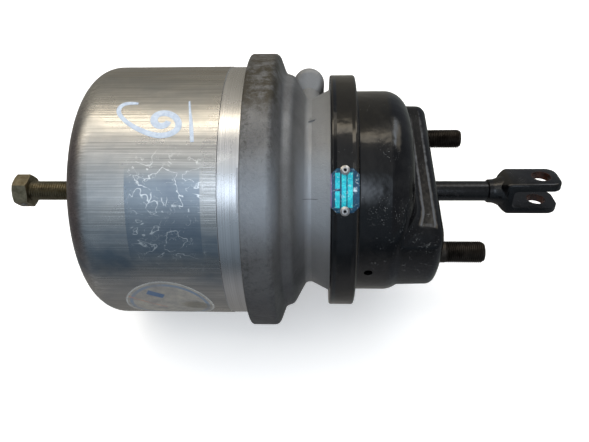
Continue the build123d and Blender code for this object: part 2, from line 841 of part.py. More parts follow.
save(thrust_pad.part, "thrust_pad", (0.12, 0.12, 0.12))


def coil(start, stop, start_radius, stop_radius, turns, wire, sides):
    """A cone-shaped coil spring of round wire between two stations on the main axis."""
    height = stop - start
    lean = degrees(atan2(stop_radius - start_radius, height))
    with BuildPart() as spring:
        with BuildLine() as path:
            Helix(
                pitch=height / turns,
                height=height,
                radius=start_radius,
                center=(start, 0, 0),
                direction=(1, 0, 0),
                cone_angle=lean,
            )
        with BuildSketch(Plane(path.line @ 0, z_dir=path.line % 0)):
            RegularPolygon(wire, sides)
        sweep(is_frenet=True)
    return spring.part


power_spring = coil(
    cylinder_floor + spring_wire + loose_gap,
    piston_floor - spring_wire - loose_gap,
    spring_big,
    spring_small,
    spring_turns,
    spring_wire,
    8,
)
save(power_spring, "power_spring", (0.25, 0.25, 0.27))


# ---- push rod group -----------------------------------------------------------------

with BuildPart() as diaphragm:
    outer_lip = lip_radius - lip_gap
    fold = diaphragm_thick / 2
    foot = deep_radius - chamber_draft - chamber_corner - diaphragm_side
    bend = throat_radius - diaphragm_side
    seat = seat_radius - diaphragm_side
    with BuildSketch(Plane.XY):
        face(
            (diaphragm_rear, 0),
            (diaphragm_rear, foot),
            (diaphragm_rear + diaphragm_corner, foot + diaphragm_corner),
            (throat_x, bend),
            (joint_x - bead, seat),
            (joint_x - bead, outer_lip),
            (joint_x + bead, outer_lip),
            (joint_x + bead, seat - fold),
            (throat_x + fold, bend - diaphragm_thick),
            (diaphragm_front + diaphragm_corner, foot + diaphragm_corner - diaphragm_thick),
            (diaphragm_front, foot - fold),
            (diaphragm_front, 0),
        )
    revolve(axis=Axis.X)

save(diaphragm.part, "diaphragm", rubber)

with BuildPart() as push_plate:
    with BuildSketch(Plane.XY) as section:
        face(
            (plate_rear, rod_radius),
            (plate_rear, plate_radius - plate_bend),
            (plate_rear + plate_rim / 2, plate_radius),
            (plate_rear + plate_rim, plate_radius),
            (plate_rear + plate_rim, plate_radius - plate_thick),
            (plate_front, plate_radius - plate_bend - plate_thick),
            (plate_front, plate_hub_radius),
            (plate_front + plate_hub, plate_hub_radius - hub_draft),
            (plate_front + plate_hub, rod_radius),
        )
    revolve(axis=Axis.X)

save(push_plate.part, "push_plate", steel_black)

with BuildPart() as push_rod:
    with BuildSketch(Plane.XY) as rod:
        face((plate_rear, 0), (rod_end, 0), (rod_end, rod_radius), (plate_rear, rod_radius))
        chamfer(corners(rod, (rod_end, rod_radius)), rod_chamfer)
    revolve(axis=Axis.X)

save(push_rod.part, "push_rod", steel_black)

return_spring = coil(
    plate_front + return_wire + loose_gap,
    -sheet - dust_seal_thick - return_wire - loose_gap,
    return_big,
    return_small,
    return_turns,
    return_wire,
    6,
)
save(return_spring, "return_spring", (0.3, 0.3, 0.32))

with BuildPart() as yoke:
    with BuildSketch(cross_plane(yoke_start, yoke_angle)):
        Circle(yoke_neck_radius)
    with BuildSketch(cross_plane(yoke_shoulder, yoke_angle)) as block:
        Rectangle(yoke_thick, yoke_width)
        fillet(block.vertices(), yoke_edge)
    loft()
    with BuildSketch(cross_plane(yoke_shoulder, yoke_angle)) as ears:
        Rectangle(yoke_thick, yoke_width)
        fillet(ears.vertices(), yoke_edge)
    extrude(amount=yoke_tip - yoke_shoulder)
    # the slot and the rounded ear tips
    side = Plane((0, 0, 0), x_dir=(1, 0, 0), z_dir=way(yoke_angle + 90))
    with BuildSketch(side) as slot:
        with Locations((yoke_slot, 0)):
            Rectangle(yoke_tip, yoke_gap, align=(Align.MIN, Align.CENTER))
        fillet(slot.vertices().sort_by_distance((yoke_slot, 0, 0))[:2], yoke_slot_corner)
    extrude(amount=yoke_width, both=True, mode=Mode.SUBTRACT)
    flat = Plane((0, 0, 0), x_dir=(1, 0, 0), z_dir=way(yoke_angle))
    with BuildSketch(flat) as tips:
        with Locations((yoke_tip, 0)):
            Rectangle(yoke_tip, yoke_width, align=(Align.MAX, Align.CENTER))
        fillet(tips.vertices().sort_by(Axis.X)[-2:], yoke_tip_corner)
    extrude(amount=yoke_thick, both=True, mode=Mode.INTERSECT)
    with BuildSketch(flat):
        with Locations((yoke_pin_x, 0)):
            Circle(yoke_pin_radius)
    extrude(amount=yoke_thick, both=True, mode=Mode.SUBTRACT)
    with BuildSketch(Plane.YZ.offset(yoke_start)):
        Circle(rod_radius)
    extrude(amount=rod_end - yoke_start, mode=Mode.SUBTRACT)

save(yoke.part, "yoke", steel_black)


# ---- release bolt -------------------------------------------------------------------

pin_plane = Plane((hex_rear + hex_length / 2, 0, 0), z_dir=way(hex_angle - 30))

with BuildPart() as release_bolt:
    with BuildSketch(Plane.XY) as shank:
        face(
            (hex_rear + bolt_sunk, 0),
            (hex_rear + bolt_sunk, bolt_radius - bolt_chamfer),
            (hex_rear + bolt_sunk + bolt_chamfer, bolt_radius),
            (collar_front + loose_gap, bolt_radius),
            (collar_front + loose_gap, bolt_head_radius),
            (bolt_front, bolt_head_radius),
            (bolt_front, 0),
        )
    revolve(axis=Axis.X)
    with BuildSketch(pin_plane):
        Circle(pin_radius)
    extrude(amount=hex_flats, both=True, mode=Mode.SUBTRACT)

save(release_bolt.part, "release_bolt", olive)

with BuildPart() as release_hex:
    with BuildSketch(Plane.YZ.offset(hex_rear)):
        RegularPolygon(hex_flats / 2, 6, major_radius=False, rotation=hex_angle)
        Circle(bolt_radius, mode=Mode.SUBTRACT)
    extrude(amount=hex_length)
    # turned bevels on the six corners
    with BuildSketch(Plane.XY) as bevel:
        corner = hex_flats / 2 / cos(radians(30))
        face(
            (hex_rear, 0),
            (hex_rear, corner - hex_bevel),
            (hex_rear + hex_bevel / 2, corner),
            (hex_front - hex_bevel / 2, corner),
            (hex_front, corner - hex_bevel),
            (hex_front, 0),
        )
    revolve(axis=Axis.X, mode=Mode.INTERSECT)
    with BuildSketch(pin_plane):
        Circle(pin_radius)
    extrude(amount=hex_flats, both=True, mode=Mode.SUBTRACT)

save(release_hex.part, "release_hex", olive)

with BuildPart() as hex_pin:
    with BuildSketch(pin_plane.offset(-hex_flats / 2 - pin_proud)):
        Circle(pin_radius)
        Circle(pin_radius - pin_wall, mode=Mode.SUBTRACT)
    extrude(amount=hex_flats + 2 * pin_proud)

save(hex_pin.part, "hex_pin", (0.3, 0.3, 0.3))

bolt_collar = ring(collar_rear, collar_front, bolt_radius + slide_gap, collar_radius)
save(bolt_collar, "bolt_collar", bright)
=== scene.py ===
# %% [markdown]
# # A spring brake chamber
#
# This is the air-worked actuator that pushes a truck's or trailer's brake lever. An aluminium
# cylinder with a strong spring sits behind a cast body, a ring clamps a black steel bowl to
# its front, and a push rod with a yoke comes out of the bowl. The shapes that do the work come
# from the imported CAD model. The lesson adds what makes them look real: finishes, threads, a
# forged yoke, a diaphragm, a spring, and the marks of handling. Everything is in metres.

import json
from math import atan2, cos, degrees, hypot, pi, radians, sin

import bmesh
import bpy
from mathutils import Euler, Matrix, Vector


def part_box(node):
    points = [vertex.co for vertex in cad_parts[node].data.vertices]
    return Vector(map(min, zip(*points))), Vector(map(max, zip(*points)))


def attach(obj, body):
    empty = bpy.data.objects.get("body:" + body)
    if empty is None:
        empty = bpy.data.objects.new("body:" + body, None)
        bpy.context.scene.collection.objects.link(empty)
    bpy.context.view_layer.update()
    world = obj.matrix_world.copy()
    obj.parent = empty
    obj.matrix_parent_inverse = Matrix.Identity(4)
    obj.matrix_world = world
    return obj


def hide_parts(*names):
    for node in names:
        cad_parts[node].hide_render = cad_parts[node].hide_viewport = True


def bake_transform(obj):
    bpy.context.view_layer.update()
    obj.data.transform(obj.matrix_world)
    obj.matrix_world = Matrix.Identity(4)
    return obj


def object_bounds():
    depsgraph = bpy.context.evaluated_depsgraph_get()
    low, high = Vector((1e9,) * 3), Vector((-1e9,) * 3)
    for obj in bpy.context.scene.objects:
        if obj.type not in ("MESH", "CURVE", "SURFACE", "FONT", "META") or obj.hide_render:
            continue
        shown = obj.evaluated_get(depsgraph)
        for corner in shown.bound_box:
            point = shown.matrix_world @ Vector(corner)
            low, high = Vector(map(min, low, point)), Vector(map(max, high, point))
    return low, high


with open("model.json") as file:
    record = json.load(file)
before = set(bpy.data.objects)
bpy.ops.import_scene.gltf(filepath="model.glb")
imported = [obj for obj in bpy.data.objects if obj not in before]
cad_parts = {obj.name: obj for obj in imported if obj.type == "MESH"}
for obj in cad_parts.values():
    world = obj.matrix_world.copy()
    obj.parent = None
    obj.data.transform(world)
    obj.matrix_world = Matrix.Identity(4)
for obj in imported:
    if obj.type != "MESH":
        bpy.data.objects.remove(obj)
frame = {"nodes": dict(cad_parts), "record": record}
cad_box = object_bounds()
print("CAD box, low and high corner:", cad_box)

# %% [markdown]
# ## Directions round the axis
#
# The push rod runs along X, and the chamber is round about it. A place on it is easiest to
# give as an X and an angle about the axis, counted from +Y towards +Z, so two small helpers
# turn such angles into vectors. The side that faces the viewer lies at 131 degrees.

# %% Helpers for directions
near_side = 131.0  # degrees, the side turned to the viewer


def way(angle):
    """The direction square to the main axis at an angle in degrees."""
    return Vector((0, cos(radians(angle)), sin(radians(angle))))


def on_round(x, radius, angle):
    """A point at a distance from the main axis."""
    return Vector((x, 0, 0)) + radius * way(angle)


print("The near side looks along", [round(v, 3) for v in way(near_side)])

# %% [markdown]
# ## Camera
#
# The camera looks at the middle of the chamber from half a metre away, so the nearer parts
# look larger, as they do to the eye. It starts square to the axis and is then turned by a few
# degrees, which puts the chamber a little left of the middle and above it.

# %% Camera
camera_aim = Vector((-0.088, 0, 0))
camera_distance = 0.4726
focal_share = 575 / 589  # focal length over the image's width
sensor_width = 36
camera_turn = Euler((radians(-3.01), radians(2.57), radians(0.19)), "YXZ")

bpy.ops.object.camera_add()
camera = bpy.context.object
camera.name = "camera"
square_on = Matrix(((1, 0, 0), way(near_side - 90), way(near_side))).transposed()
camera.matrix_world = Matrix.Translation(camera_aim + camera_distance * way(near_side)) @ (
    square_on @ camera_turn.to_matrix()
).to_4x4()
camera.data.sensor_width = sensor_width
camera.data.lens = sensor_width * focal_share
camera.data.clip_start = 0.01
bpy.context.scene.camera = camera
print("Camera at", [round(v, 3) for v in camera.matrix_world.translation])

# %% [markdown]
# ## Floor
#
# The chamber lies on a plain pale table. A cylinder of polished metal shows whatever is round
# it, and a white table would wash it out, so the table is left out of mirror-like reflections:
# it still lights the metal softly and takes its shadow. A little light of its own keeps it
# pale to the edges.

# %% Floor
def shader_input(material, name):
    """One socket of a material's main shader."""
    return material.node_tree.nodes["Principled BSDF"].inputs[name]


def new_material(name, color, metallic, roughness):
    """A material with its main shader set."""
    material = bpy.data.materials.new(name)
    material.use_nodes = True
    shader_input(material, "Base Color").default_value = (*color, 1)
    shader_input(material, "Metallic").default_value = metallic
    shader_input(material, "Roughness").default_value = roughness
    return material


floor_height = cad_box[0][2] - 0.0005  # just under the flange

bpy.ops.object.select_all(action="DESELECT")
bpy.ops.mesh.primitive_plane_add(size=8, location=(0, 0, floor_height))
floor = bpy.context.object
floor.name = "floor"
table = new_material("pale table", (0.93, 0.93, 0.93), 0, 0.8)
shader_input(table, "Emission Color").default_value = (1, 1, 1, 1)
shader_input(table, "Emission Strength").default_value = 0.42
floor.data.materials.append(table)
floor.visible_glossy = False
print("Floor at Z", round(floor_height, 4))

# %% [markdown]
# ## Patterns from nodes
#
# A finish is a small tree of nodes: coordinates, a pattern, a colour made from the pattern,
# and a bump. The background of the room is such a tree too. A few helpers keep each tree to a
# handful of lines, and the first thing each takes is the owner of the tree, which is a
# material or the world. Patterns on a piece read its object coordinates, in metres, so a noise
# of scale 1000 has grains of about a millimetre.

# %% Helpers that add nodes
def node(owner, kind, **settings):
    """Adds a node and sets its properties."""
    made = owner.node_tree.nodes.new(kind)
    for name, value in settings.items():
        setattr(made, name, value)
    return made


def feed(owner, socket, value):
    """Gives a socket a value, or links it if the value comes from another node."""
    if isinstance(value, bpy.types.NodeSocket):
        owner.node_tree.links.new(value, socket)
    elif socket.type == "RGBA" and len(value) == 3:
        socket.default_value = (*value, 1)
    else:
        socket.default_value = value


def feed_all(owner, made, **values):
    """Feeds several named sockets of a node, with _ for a space in a name."""
    for name, value in values.items():
        feed(owner, made.inputs[name.replace("_", " ")], value)


# %% Helpers that do arithmetic
def calc(owner, operation, a, b=0.0):
    """One step of arithmetic."""
    made = node(owner, "ShaderNodeMath", operation=operation)
    feed(owner, made.inputs[0], a)
    feed(owner, made.inputs[1], b)
    return made.outputs["Value"]


def times(owner, product, *factors):
    """The product of patterns and numbers."""
    for factor in factors:
        product = calc(owner, "MULTIPLY", product, factor)
    return product


def away_from(owner, value, middle):
    """How far a value is from a middle one, to either side."""
    return calc(owner, "ABSOLUTE", calc(owner, "SUBTRACT", value, middle))


def reach(owner, a, b):
    """How far a point is from a centre, from its two distances."""
    return calc(owner, "SQRT", calc(owner, "ADD", times(owner, a, a), times(owner, b, b)))


def span(owner, value, low, high, start=0.0, stop=1.0):
    """Maps low..high of a value onto start..stop, and clamps it."""
    made = node(owner, "ShaderNodeMapRange")
    feed_all(owner, made, Value=value, From_Min=low, From_Max=high, To_Min=start, To_Max=stop)
    return made.outputs["Result"]


def between(owner, value, rise, fall):
    """0, then up to 1 over the first pair of values, and down to 0 over the second."""
    return times(owner, span(owner, value, *rise), span(owner, value, *fall, 1, 0))


def field(owner, value, low, high, soft):
    """1 between two values and 0 outside them, with soft edges."""
    return between(owner, value, (low, low + soft), (high - soft, high))


# %% Helpers for places and colours
def axes(owner, vector):
    """The three parts of a vector."""
    made = node(owner, "ShaderNodeSeparateXYZ")
    feed_all(owner, made, Vector=vector)
    return made.outputs["X"], made.outputs["Y"], made.outputs["Z"]


def angle_about(owner, vector):
    """The angle of a vector about the main axis in degrees, from 0 to 360."""
    _, y, z = axes(owner, vector)
    turn = calc(owner, "DEGREES", calc(owner, "ARCTAN2", z, y))
    return calc(owner, "MODULO", calc(owner, "ADD", turn, 360), 360)


def blend(owner, share, a, b, kind="MIX"):
    """Colour a where the share is 0, colour b where it is 1."""
    made = node(owner, "ShaderNodeMix", data_type="RGBA", blend_type=kind)
    feed(owner, made.inputs["Factor"], share)
    feed(owner, made.inputs[6], a)
    feed(owner, made.inputs[7], b)
    return made.outputs[2]


def layers(owner, color, *coats):
    """Lays coats over a colour, each a share from 0 to 1 and a colour."""
    for share, coat in coats:
        color = blend(owner, share, color, coat)
    return color


# %% [markdown]
# ## The room
#
# Metal is drawn by its surroundings more than by lamps. The background is therefore a soft room
# in strips that run along the axis: a wide warm window high behind the chamber, a narrow lamp
# beside it, and a dimmer, bluer room on the viewer's side. Each strip is one stop of a colour
# ramp over the angle about the axis. A few lamps could light the metal too, but each would
# leave a patch, where the strips give it long even bands.

# %% The room, strip by strip
room_strips = (  # angle about the axis, brightness, colour
    (0, 0.30, (1.0, 0.94, 0.80)),
    (20, 0.33, (1.0, 0.94, 0.80)),
    (48, 0.45, (1.0, 0.94, 0.82)),
    (62, 0.80, (1.0, 0.91, 0.76)),
    (65, 3.80, (1.0, 0.88, 0.69)),
    (74, 3.80, (1.0, 0.91, 0.77)),
    (77, 0.75, (1.0, 0.96, 0.90)),
    (90, 0.56, (0.96, 0.98, 1.0)),
    (101, 0.56, (0.96, 0.98, 1.0)),
    (103, 3.60, (1.0, 0.98, 0.93)),
    (106, 0.60, (0.92, 0.97, 1.0)),
    (131, 0.60, (0.80, 0.91, 1.0)),
    (156, 0.42, (0.70, 0.85, 1.0)),
    (180, 0.31, (0.68, 0.837, 1.0)),
    (200, 0.12, (0.68, 0.84, 1.0)),
    (225, 0.30, (0.98, 0.98, 1.0)),
    (255, 0.25, (1.0, 0.98, 0.95)),
    (310, 0.22, (1.0, 0.97, 0.92)),
    (360, 0.30, (1.0, 0.94, 0.80)),
)
room_gain = 5.0  # the ramp holds colours up to 1, so the background multiplies them

world = bpy.context.scene.world or bpy.data.worlds.new("world")
bpy.context.scene.world = world
world.use_nodes = True
direction = node(world, "ShaderNodeTexCoord").outputs["Generated"]
toward_rod = axes(world, direction)[0]
sky_angle = angle_about(world, direction)
ramp = node(world, "ShaderNodeValToRGB")
feed_all(world, ramp, Fac=span(world, sky_angle, 0, 360))
stops = ramp.color_ramp.elements
for angle, brightness, tint in room_strips:
    ends = {0: stops[0], 360: stops[-1]}
    stop = ends[angle] if angle in ends else stops.new(angle / 360)
    stop.color = (*(brightness / room_gain * part for part in tint), 1)
print("The room has", len(stops), "stops")

# %% [markdown]
# ## The two ends of the room
#
# What lies far along the axis shows only where a piece is rounded. The room is nearly black
# behind the cylinder's closed end, which gives its rim a dark band. Past the rod's end it is
# dark as well, so the bowl stays black, and a few soft things stand there for the bowl to
# mirror: a bluish glow on the viewer's side, and high up a brown wall with a paler pane. Each
# is a span of angles times a span along the axis, laid over the strips. The narrow lamp stops
# short of the rod's side, so it draws its line on the cylinder and not on the clamp ring.

# %% The two ends of the room
behind_cylinder = span(world, toward_rod, -0.66, -0.9)
past_lamp = times(world, field(world, sky_angle, 99, 109, 1), span(world, toward_rod, -0.08, -0.02))
glow = times(
    world, field(world, sky_angle, 112, 149, 17), between(world, toward_rod, (-0.32, -0.16), (0.05, 0.19))
)
wall = times(
    world, field(world, sky_angle, 36, 82, 12), between(world, toward_rod, (0.20, 0.34), (0.60, 0.70))
)
pane_foot = times(
    world, field(world, sky_angle, 36, 62, 8), between(world, toward_rod, (0.30, 0.37), (0.46, 0.56))
)
pane = times(
    world, field(world, sky_angle, 55, 79, 9), between(world, toward_rod, (0.24, 0.32), (0.36, 0.46))
)
room = layers(
    world,
    ramp.outputs["Color"],
    (behind_cylinder, (0.02, 0.017, 0.017)),
    (past_lamp, (0.115, 0.118, 0.12)),
    (glow, (0.46, 0.52, 0.60)),
)
room = blend(world, span(world, toward_rod, 0.05, 0.28), room, (0.042, 0.045, 0.050), "DARKEN")
room = layers(
    world,
    room,
    (wall, (0.36, 0.33, 0.28)),
    (pane_foot, (0.46, 0.49, 0.53)),
    (pane, (0.72, 0.80, 0.90)),
)
background = world.node_tree.nodes["Background"]
feed_all(world, background, Color=room, Strength=room_gain)
bpy.context.scene.view_settings.view_transform = "Standard"
print("The background has", len(world.node_tree.nodes), "nodes")

# %% [markdown]
# ## Ceiling light
#
# A wide square lamp above the table brightens it and the matt parts, as a studio's soft box
# does. Like the table it is left out of reflections, or it would stand as a white bar along
# the cylinder.

# %% Ceiling light
ceiling_height = 2.2
bpy.ops.object.light_add(type="AREA", location=camera_aim + Vector((0, 0, ceiling_height)))
ceiling = bpy.context.object
ceiling.name = "ceiling"
ceiling.data.size = 2.4
ceiling.data.energy = 34
ceiling.data.color = (1.0, 0.99, 0.97)
ceiling.visible_glossy = False
print("Ceiling light at Z", ceiling_height)

# %% [markdown]
# ## Patterns on a piece
#
# Three patterns do most of the work on the pieces: soft noise, scattered cells, and thin
# scratches, which are drawn where a noise crosses its middle value. The rest of the helpers
# measure where on the chamber a bit of surface lies, and feed the shader.

# %% Helpers for patterns on a piece
def space(material, stretch=(1, 1, 1), turn=0.0):
    """Object coordinates, turned about X in degrees, then scaled along each axis."""
    vector = node(material, "ShaderNodeTexCoord").outputs["Object"]
    for setting, amounts in (("Rotation", (radians(turn), 0, 0)), ("Scale", stretch)):
        mapping = node(material, "ShaderNodeMapping")
        feed_all(material, mapping, Vector=vector)
        mapping.inputs[setting].default_value = amounts
        vector = mapping.outputs["Vector"]
    return vector


def noise(material, vector, scale, detail=4.0, roughness=0.55, distortion=0.0):
    """Cloudy noise from 0 to 1."""
    made = node(material, "ShaderNodeTexNoise")
    feed_all(material, made, Vector=vector, Scale=scale, Detail=detail)
    feed_all(material, made, Roughness=roughness, Distortion=distortion)
    return made.outputs["Fac"]


def cells(material, vector, scale):
    """The distance to the nearest of many scattered points."""
    made = node(material, "ShaderNodeTexVoronoi")
    feed_all(material, made, Vector=vector, Scale=scale)
    return made.outputs["Distance"]


def scratches(material, vector, scale, width, rarity):
    """Thin curling lines: where a noise crosses its middle, broken up by a second noise."""
    wander = noise(material, vector, scale, 3, 0.55, 0.6)
    line = span(material, away_from(material, wander, 0.5), 0, width, 1, 0)
    broken = span(material, noise(material, vector, scale * 1.7), rarity, rarity + 0.06)
    return times(material, line, broken)


# %% Helpers for places on a piece
def along_axis(material):
    """The place along the main axis, in metres."""
    return axes(material, space(material))[0]


def angle_round(material):
    """The angle about the main axis in degrees, from 0 to 360."""
    return angle_about(material, space(material))


def distance_to(material, place):
    """How far the surface is from a place, in metres."""
    made = node(material, "ShaderNodeVectorMath", operation="DISTANCE")
    feed(material, made.inputs[0], space(material))
    feed(material, made.inputs[1], place)
    return made.outputs["Value"]


# %% Helpers that finish a material
def set_color(material, color):
    feed(material, shader_input(material, "Base Color"), color)


def set_roughness(material, roughness):
    feed(material, shader_input(material, "Roughness"), roughness)


def set_bump(material, *heights):
    """Stacks bumps, each a height pattern and its depth in metres, and says what was made."""
    for height, depth in heights:
        made = node(material, "ShaderNodeBump")
        feed_all(material, made, Height=height, Distance=depth)
        if shader_input(material, "Normal").is_linked:
            feed_all(material, made, Normal=shader_input(material, "Normal").links[0].from_socket)
        feed(material, shader_input(material, "Normal"), made.outputs["Normal"])
    print(f"{material.name}: {len(material.node_tree.nodes)} nodes")


# %% [markdown]
# ## Drawn aluminium
#
# The spring cylinder is drawn over a punch, which leaves fine lines along its axis, and its
# open end is turned to fit the body, which leaves rings. Each is one noise, stretched along X
# or squeezed along it, and X tells the two stretches apart. Over that lie the stains of years
# in a store: grey clouds and a brown one on top. Low on the near side a darker bluish tone is
# partly a stain and partly painted shade.

# %% Drawn aluminium
turned_start = -0.1563  # X where the turned stretch begins

drawn = new_material("drawn aluminium", (0.6, 0.59, 0.57), 1, 0.3)
x = along_axis(drawn)
angle = angle_round(drawn)
is_turned = span(drawn, x, turned_start - 0.0003, turned_start)
draw_lines = noise(drawn, space(drawn, (9, 1000, 1000)), 1, 4, 0.75)
wide_lines = noise(drawn, space(drawn, (14, 260, 260)), 1, 3, 0.6)
turn_rings = noise(drawn, space(drawn, (900, 3, 3)), 1, 5, 0.8)
clouds = noise(drawn, space(drawn, (0.7, 1, 1)), 26, 6, 0.6, 0.4)
# Low on the near side: partly a real stain, partly painted shade of the lower side.
low_stain_and_shade = times(drawn, field(drawn, angle, 140, 178, 14), span(drawn, clouds, 0.42, 0.6, 0.15, 0.8))
high_stain = times(drawn, field(drawn, angle, 30, 84, 16), span(drawn, wide_lines, 0.38, 0.62, 0, 0.7))
dull = layers(
    drawn,
    (0.44, 0.435, 0.42),
    (span(drawn, wide_lines, 0.3, 0.7), (0.58, 0.575, 0.56)),
    (span(drawn, draw_lines, 0.5, 0.66, 0, 0.55), (0.80, 0.79, 0.77)),
    (span(drawn, draw_lines, 0.5, 0.34, 0, 0.5), (0.26, 0.26, 0.25)),
    (span(drawn, clouds, 0.50, 0.66, 0, 0.5), (0.33, 0.35, 0.37)),
    (low_stain_and_shade, (0.20, 0.26, 0.32)),
    (high_stain, (0.34, 0.30, 0.24)),
)
print("Turned stretch from X", turned_start)

# %% [markdown]
# ## The torn-off label
#
# A label was pulled off the cylinder's near side. Under it the metal stayed darker, and its
# glue left pale curls and scratches, which reach a little past its edges. The field is a span
# along X times a span of angles, and two sets of scratches, coarse and fine, lie over it.

# %% The torn-off label
label_span = (-0.2176, -0.1667)  # along X
label_angles = (122, 161)

in_label = times(drawn, field(drawn, x, *label_span, 0.0006), field(drawn, angle, *label_angles, 6))
near_label = times(drawn, field(drawn, x, -0.216, -0.164, 0.004), field(drawn, angle, 112, 166, 10))
label_tone = blend(drawn, span(drawn, clouds, 0.4, 0.62), (0.28, 0.33, 0.38), (0.20, 0.25, 0.31))
coarse_torn = scratches(drawn, space(drawn, (1, 1.4, 1.4)), 44, 0.011, 0.44)
fine_torn = scratches(drawn, space(drawn, (1, 1.2, 1.2)), 95, 0.009, 0.50)
torn = calc(drawn, "MAXIMUM", coarse_torn, times(drawn, fine_torn, 0.8))
dull = layers(
    drawn,
    dull,
    (times(drawn, in_label, 0.8), label_tone),
    (times(drawn, near_label, torn), (0.95, 0.95, 0.93)),
)
bright = blend(drawn, span(drawn, turn_rings, 0.3, 0.7), (0.54, 0.54, 0.54), (0.78, 0.78, 0.79))
set_color(drawn, blend(drawn, is_turned, dull, bright))
rough_dull = span(drawn, clouds, 0.3, 0.7, 0.23, 0.33)
set_roughness(drawn, calc(drawn, "ADD", rough_dull, times(drawn, near_label, 0.05)))
set_bump(drawn, (blend(drawn, is_turned, draw_lines, turn_rings), 0.0001))

# %% [markdown]
# ## Rough casting
#
# The body is cast aluminium: matt, grainy from the mould and pitted. Two noises of different
# grain give the skin, scattered cells give the pits, and a wide noise stains it.

# %% Rough casting
casting = new_material("rough casting", (0.2, 0.2, 0.21), 0.5, 0.5)
x = along_axis(casting)
angle = angle_round(casting)
skin = noise(casting, space(casting), 1100, 6, 0.7)
lumps = noise(casting, space(casting), 170, 5, 0.6)
stain = noise(casting, space(casting), 34, 6, 0.65, 0.3)
pits = span(casting, cells(casting, space(casting), 330), 0.0, 0.32)
few = span(casting, noise(casting, space(casting), 70, 3), 0.48, 0.6)
pit_share = times(casting, span(casting, pits, 0.0, 0.6, 0.7, 0), few)
grey = layers(
    casting,
    (0.205, 0.21, 0.215),
    (span(casting, stain, 0.36, 0.66), (0.125, 0.126, 0.13)),
    (span(casting, skin, 0.38, 0.66, 0, 0.3), (0.28, 0.28, 0.28)),
    (pit_share, (0.05, 0.05, 0.055)),
)
print("Clean casting:", len(casting.node_tree.nodes), "nodes")

# %% [markdown]
# ## Dirt and painted light on the casting
#
# Handling and road dirt have darkened the flange: brown on its upper side, in blotches all
# round, and along both of its edges. The waist in front of it was kept cleaner. On the near
# side of the flange and of the waist a bluish lighter band is a painted reflection, and the
# lower side is painted darker as painted shade. Each is a span of X times a span of angles,
# broken up by a noise where it is ragged. Last come the parting line of the mould and a spot
# of rust beside the waist.

# %% Dirt and painted light on the casting
dirt_black = (0.045, 0.042, 0.036)
on_flange = span(casting, x, -0.1185, -0.1150, 1, 0)
mottle = noise(casting, space(casting), 120, 6, 0.75)
upper_dirt = times(
    casting, on_flange, field(casting, angle, 20, 106, 10), span(casting, mottle, 0.40, 0.56, 0.15, 0.95)
)
blots = span(casting, noise(casting, space(casting), 210, 6, 0.8), 0.53, 0.64)
flange_edges = calc(
    casting,
    "MAXIMUM",
    field(casting, x, -0.1420, -0.1345, 0.0015),
    field(casting, x, -0.1235, -0.1180, 0.002),
)
fine_mottle = noise(casting, space(casting), 330, 5, 0.75)
edge_dirt = times(casting, flange_edges, span(casting, fine_mottle, 0.44, 0.62, 0, 0.6))
at_waist = span(casting, x, -0.1060, -0.0990)
# A bluish lighter band on the flange's near side: a painted reflection.
painted_sheen = times(casting, span(casting, x, -0.1180, -0.1150, 1, 0), field(casting, angle, 116, 156, 14))
# The lower side darker: painted shade.
painted_low_shade = times(
    casting, field(casting, angle, 138, 330, 40), span(casting, at_waist, 0, 1, 0.82, 0.45)
)
parting = times(
    casting, field(casting, angle, 135.3, 135.75, 0.1), field(casting, x, -0.101, -0.089, 0.002)
)
from_rust = calc(
    casting, "ADD", distance_to(casting, on_round(-0.1075, 0.093, 111)), times(casting, skin, 0.002)
)
print("With its dirt:", len(casting.node_tree.nodes), "nodes")

# %% Coats of the casting
grey = layers(
    casting,
    grey,
    (upper_dirt, (0.056, 0.048, 0.033)),
    (times(casting, on_flange, blots, 0.5), dirt_black),
    (edge_dirt, dirt_black),
    (times(casting, at_waist, 0.6), (0.33, 0.335, 0.34)),
    # A bluish lighter band on the waist's near side: a painted reflection.
    (times(casting, at_waist, field(casting, angle, 106, 166, 18), 0.65), (0.43, 0.47, 0.52)),
    # The flange's near side lighter and bluer: painted reflection.
    (times(casting, painted_sheen, 0.6), (0.34, 0.38, 0.43)),
    # The lower side darkened: painted shade.
    (painted_low_shade, (0.045, 0.047, 0.052)),
    (times(casting, parting, 0.7), (0.04, 0.035, 0.03)),
    (span(casting, from_rust, 0.0018, 0.0032, 0.8, 0), (0.13, 0.085, 0.03)),
)
set_color(casting, grey)
set_roughness(casting, span(casting, stain, 0.3, 0.7, 0.40, 0.56))
set_bump(casting, (lumps, 0.0005), (skin, 0.0002), (pit_share, -0.0004))

# %% [markdown]
# ## Black paint
#
# The clamp ring and the bowl wear glossy black paint. It is smooth with a slight ripple, so the
# room's window shows in it as a soft warm patch, and it carries a thin film of dust and, low on
# the bowl, scuffs and scratches down to a greyer coat. The ring's two rolled edges stand a
# little proud, which a bump near its edges shows as two thin lights.

# %% Black paint
clamp_low, clamp_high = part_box("clamp_band")
clamp_middle = (clamp_low[0] + clamp_high[0]) / 2

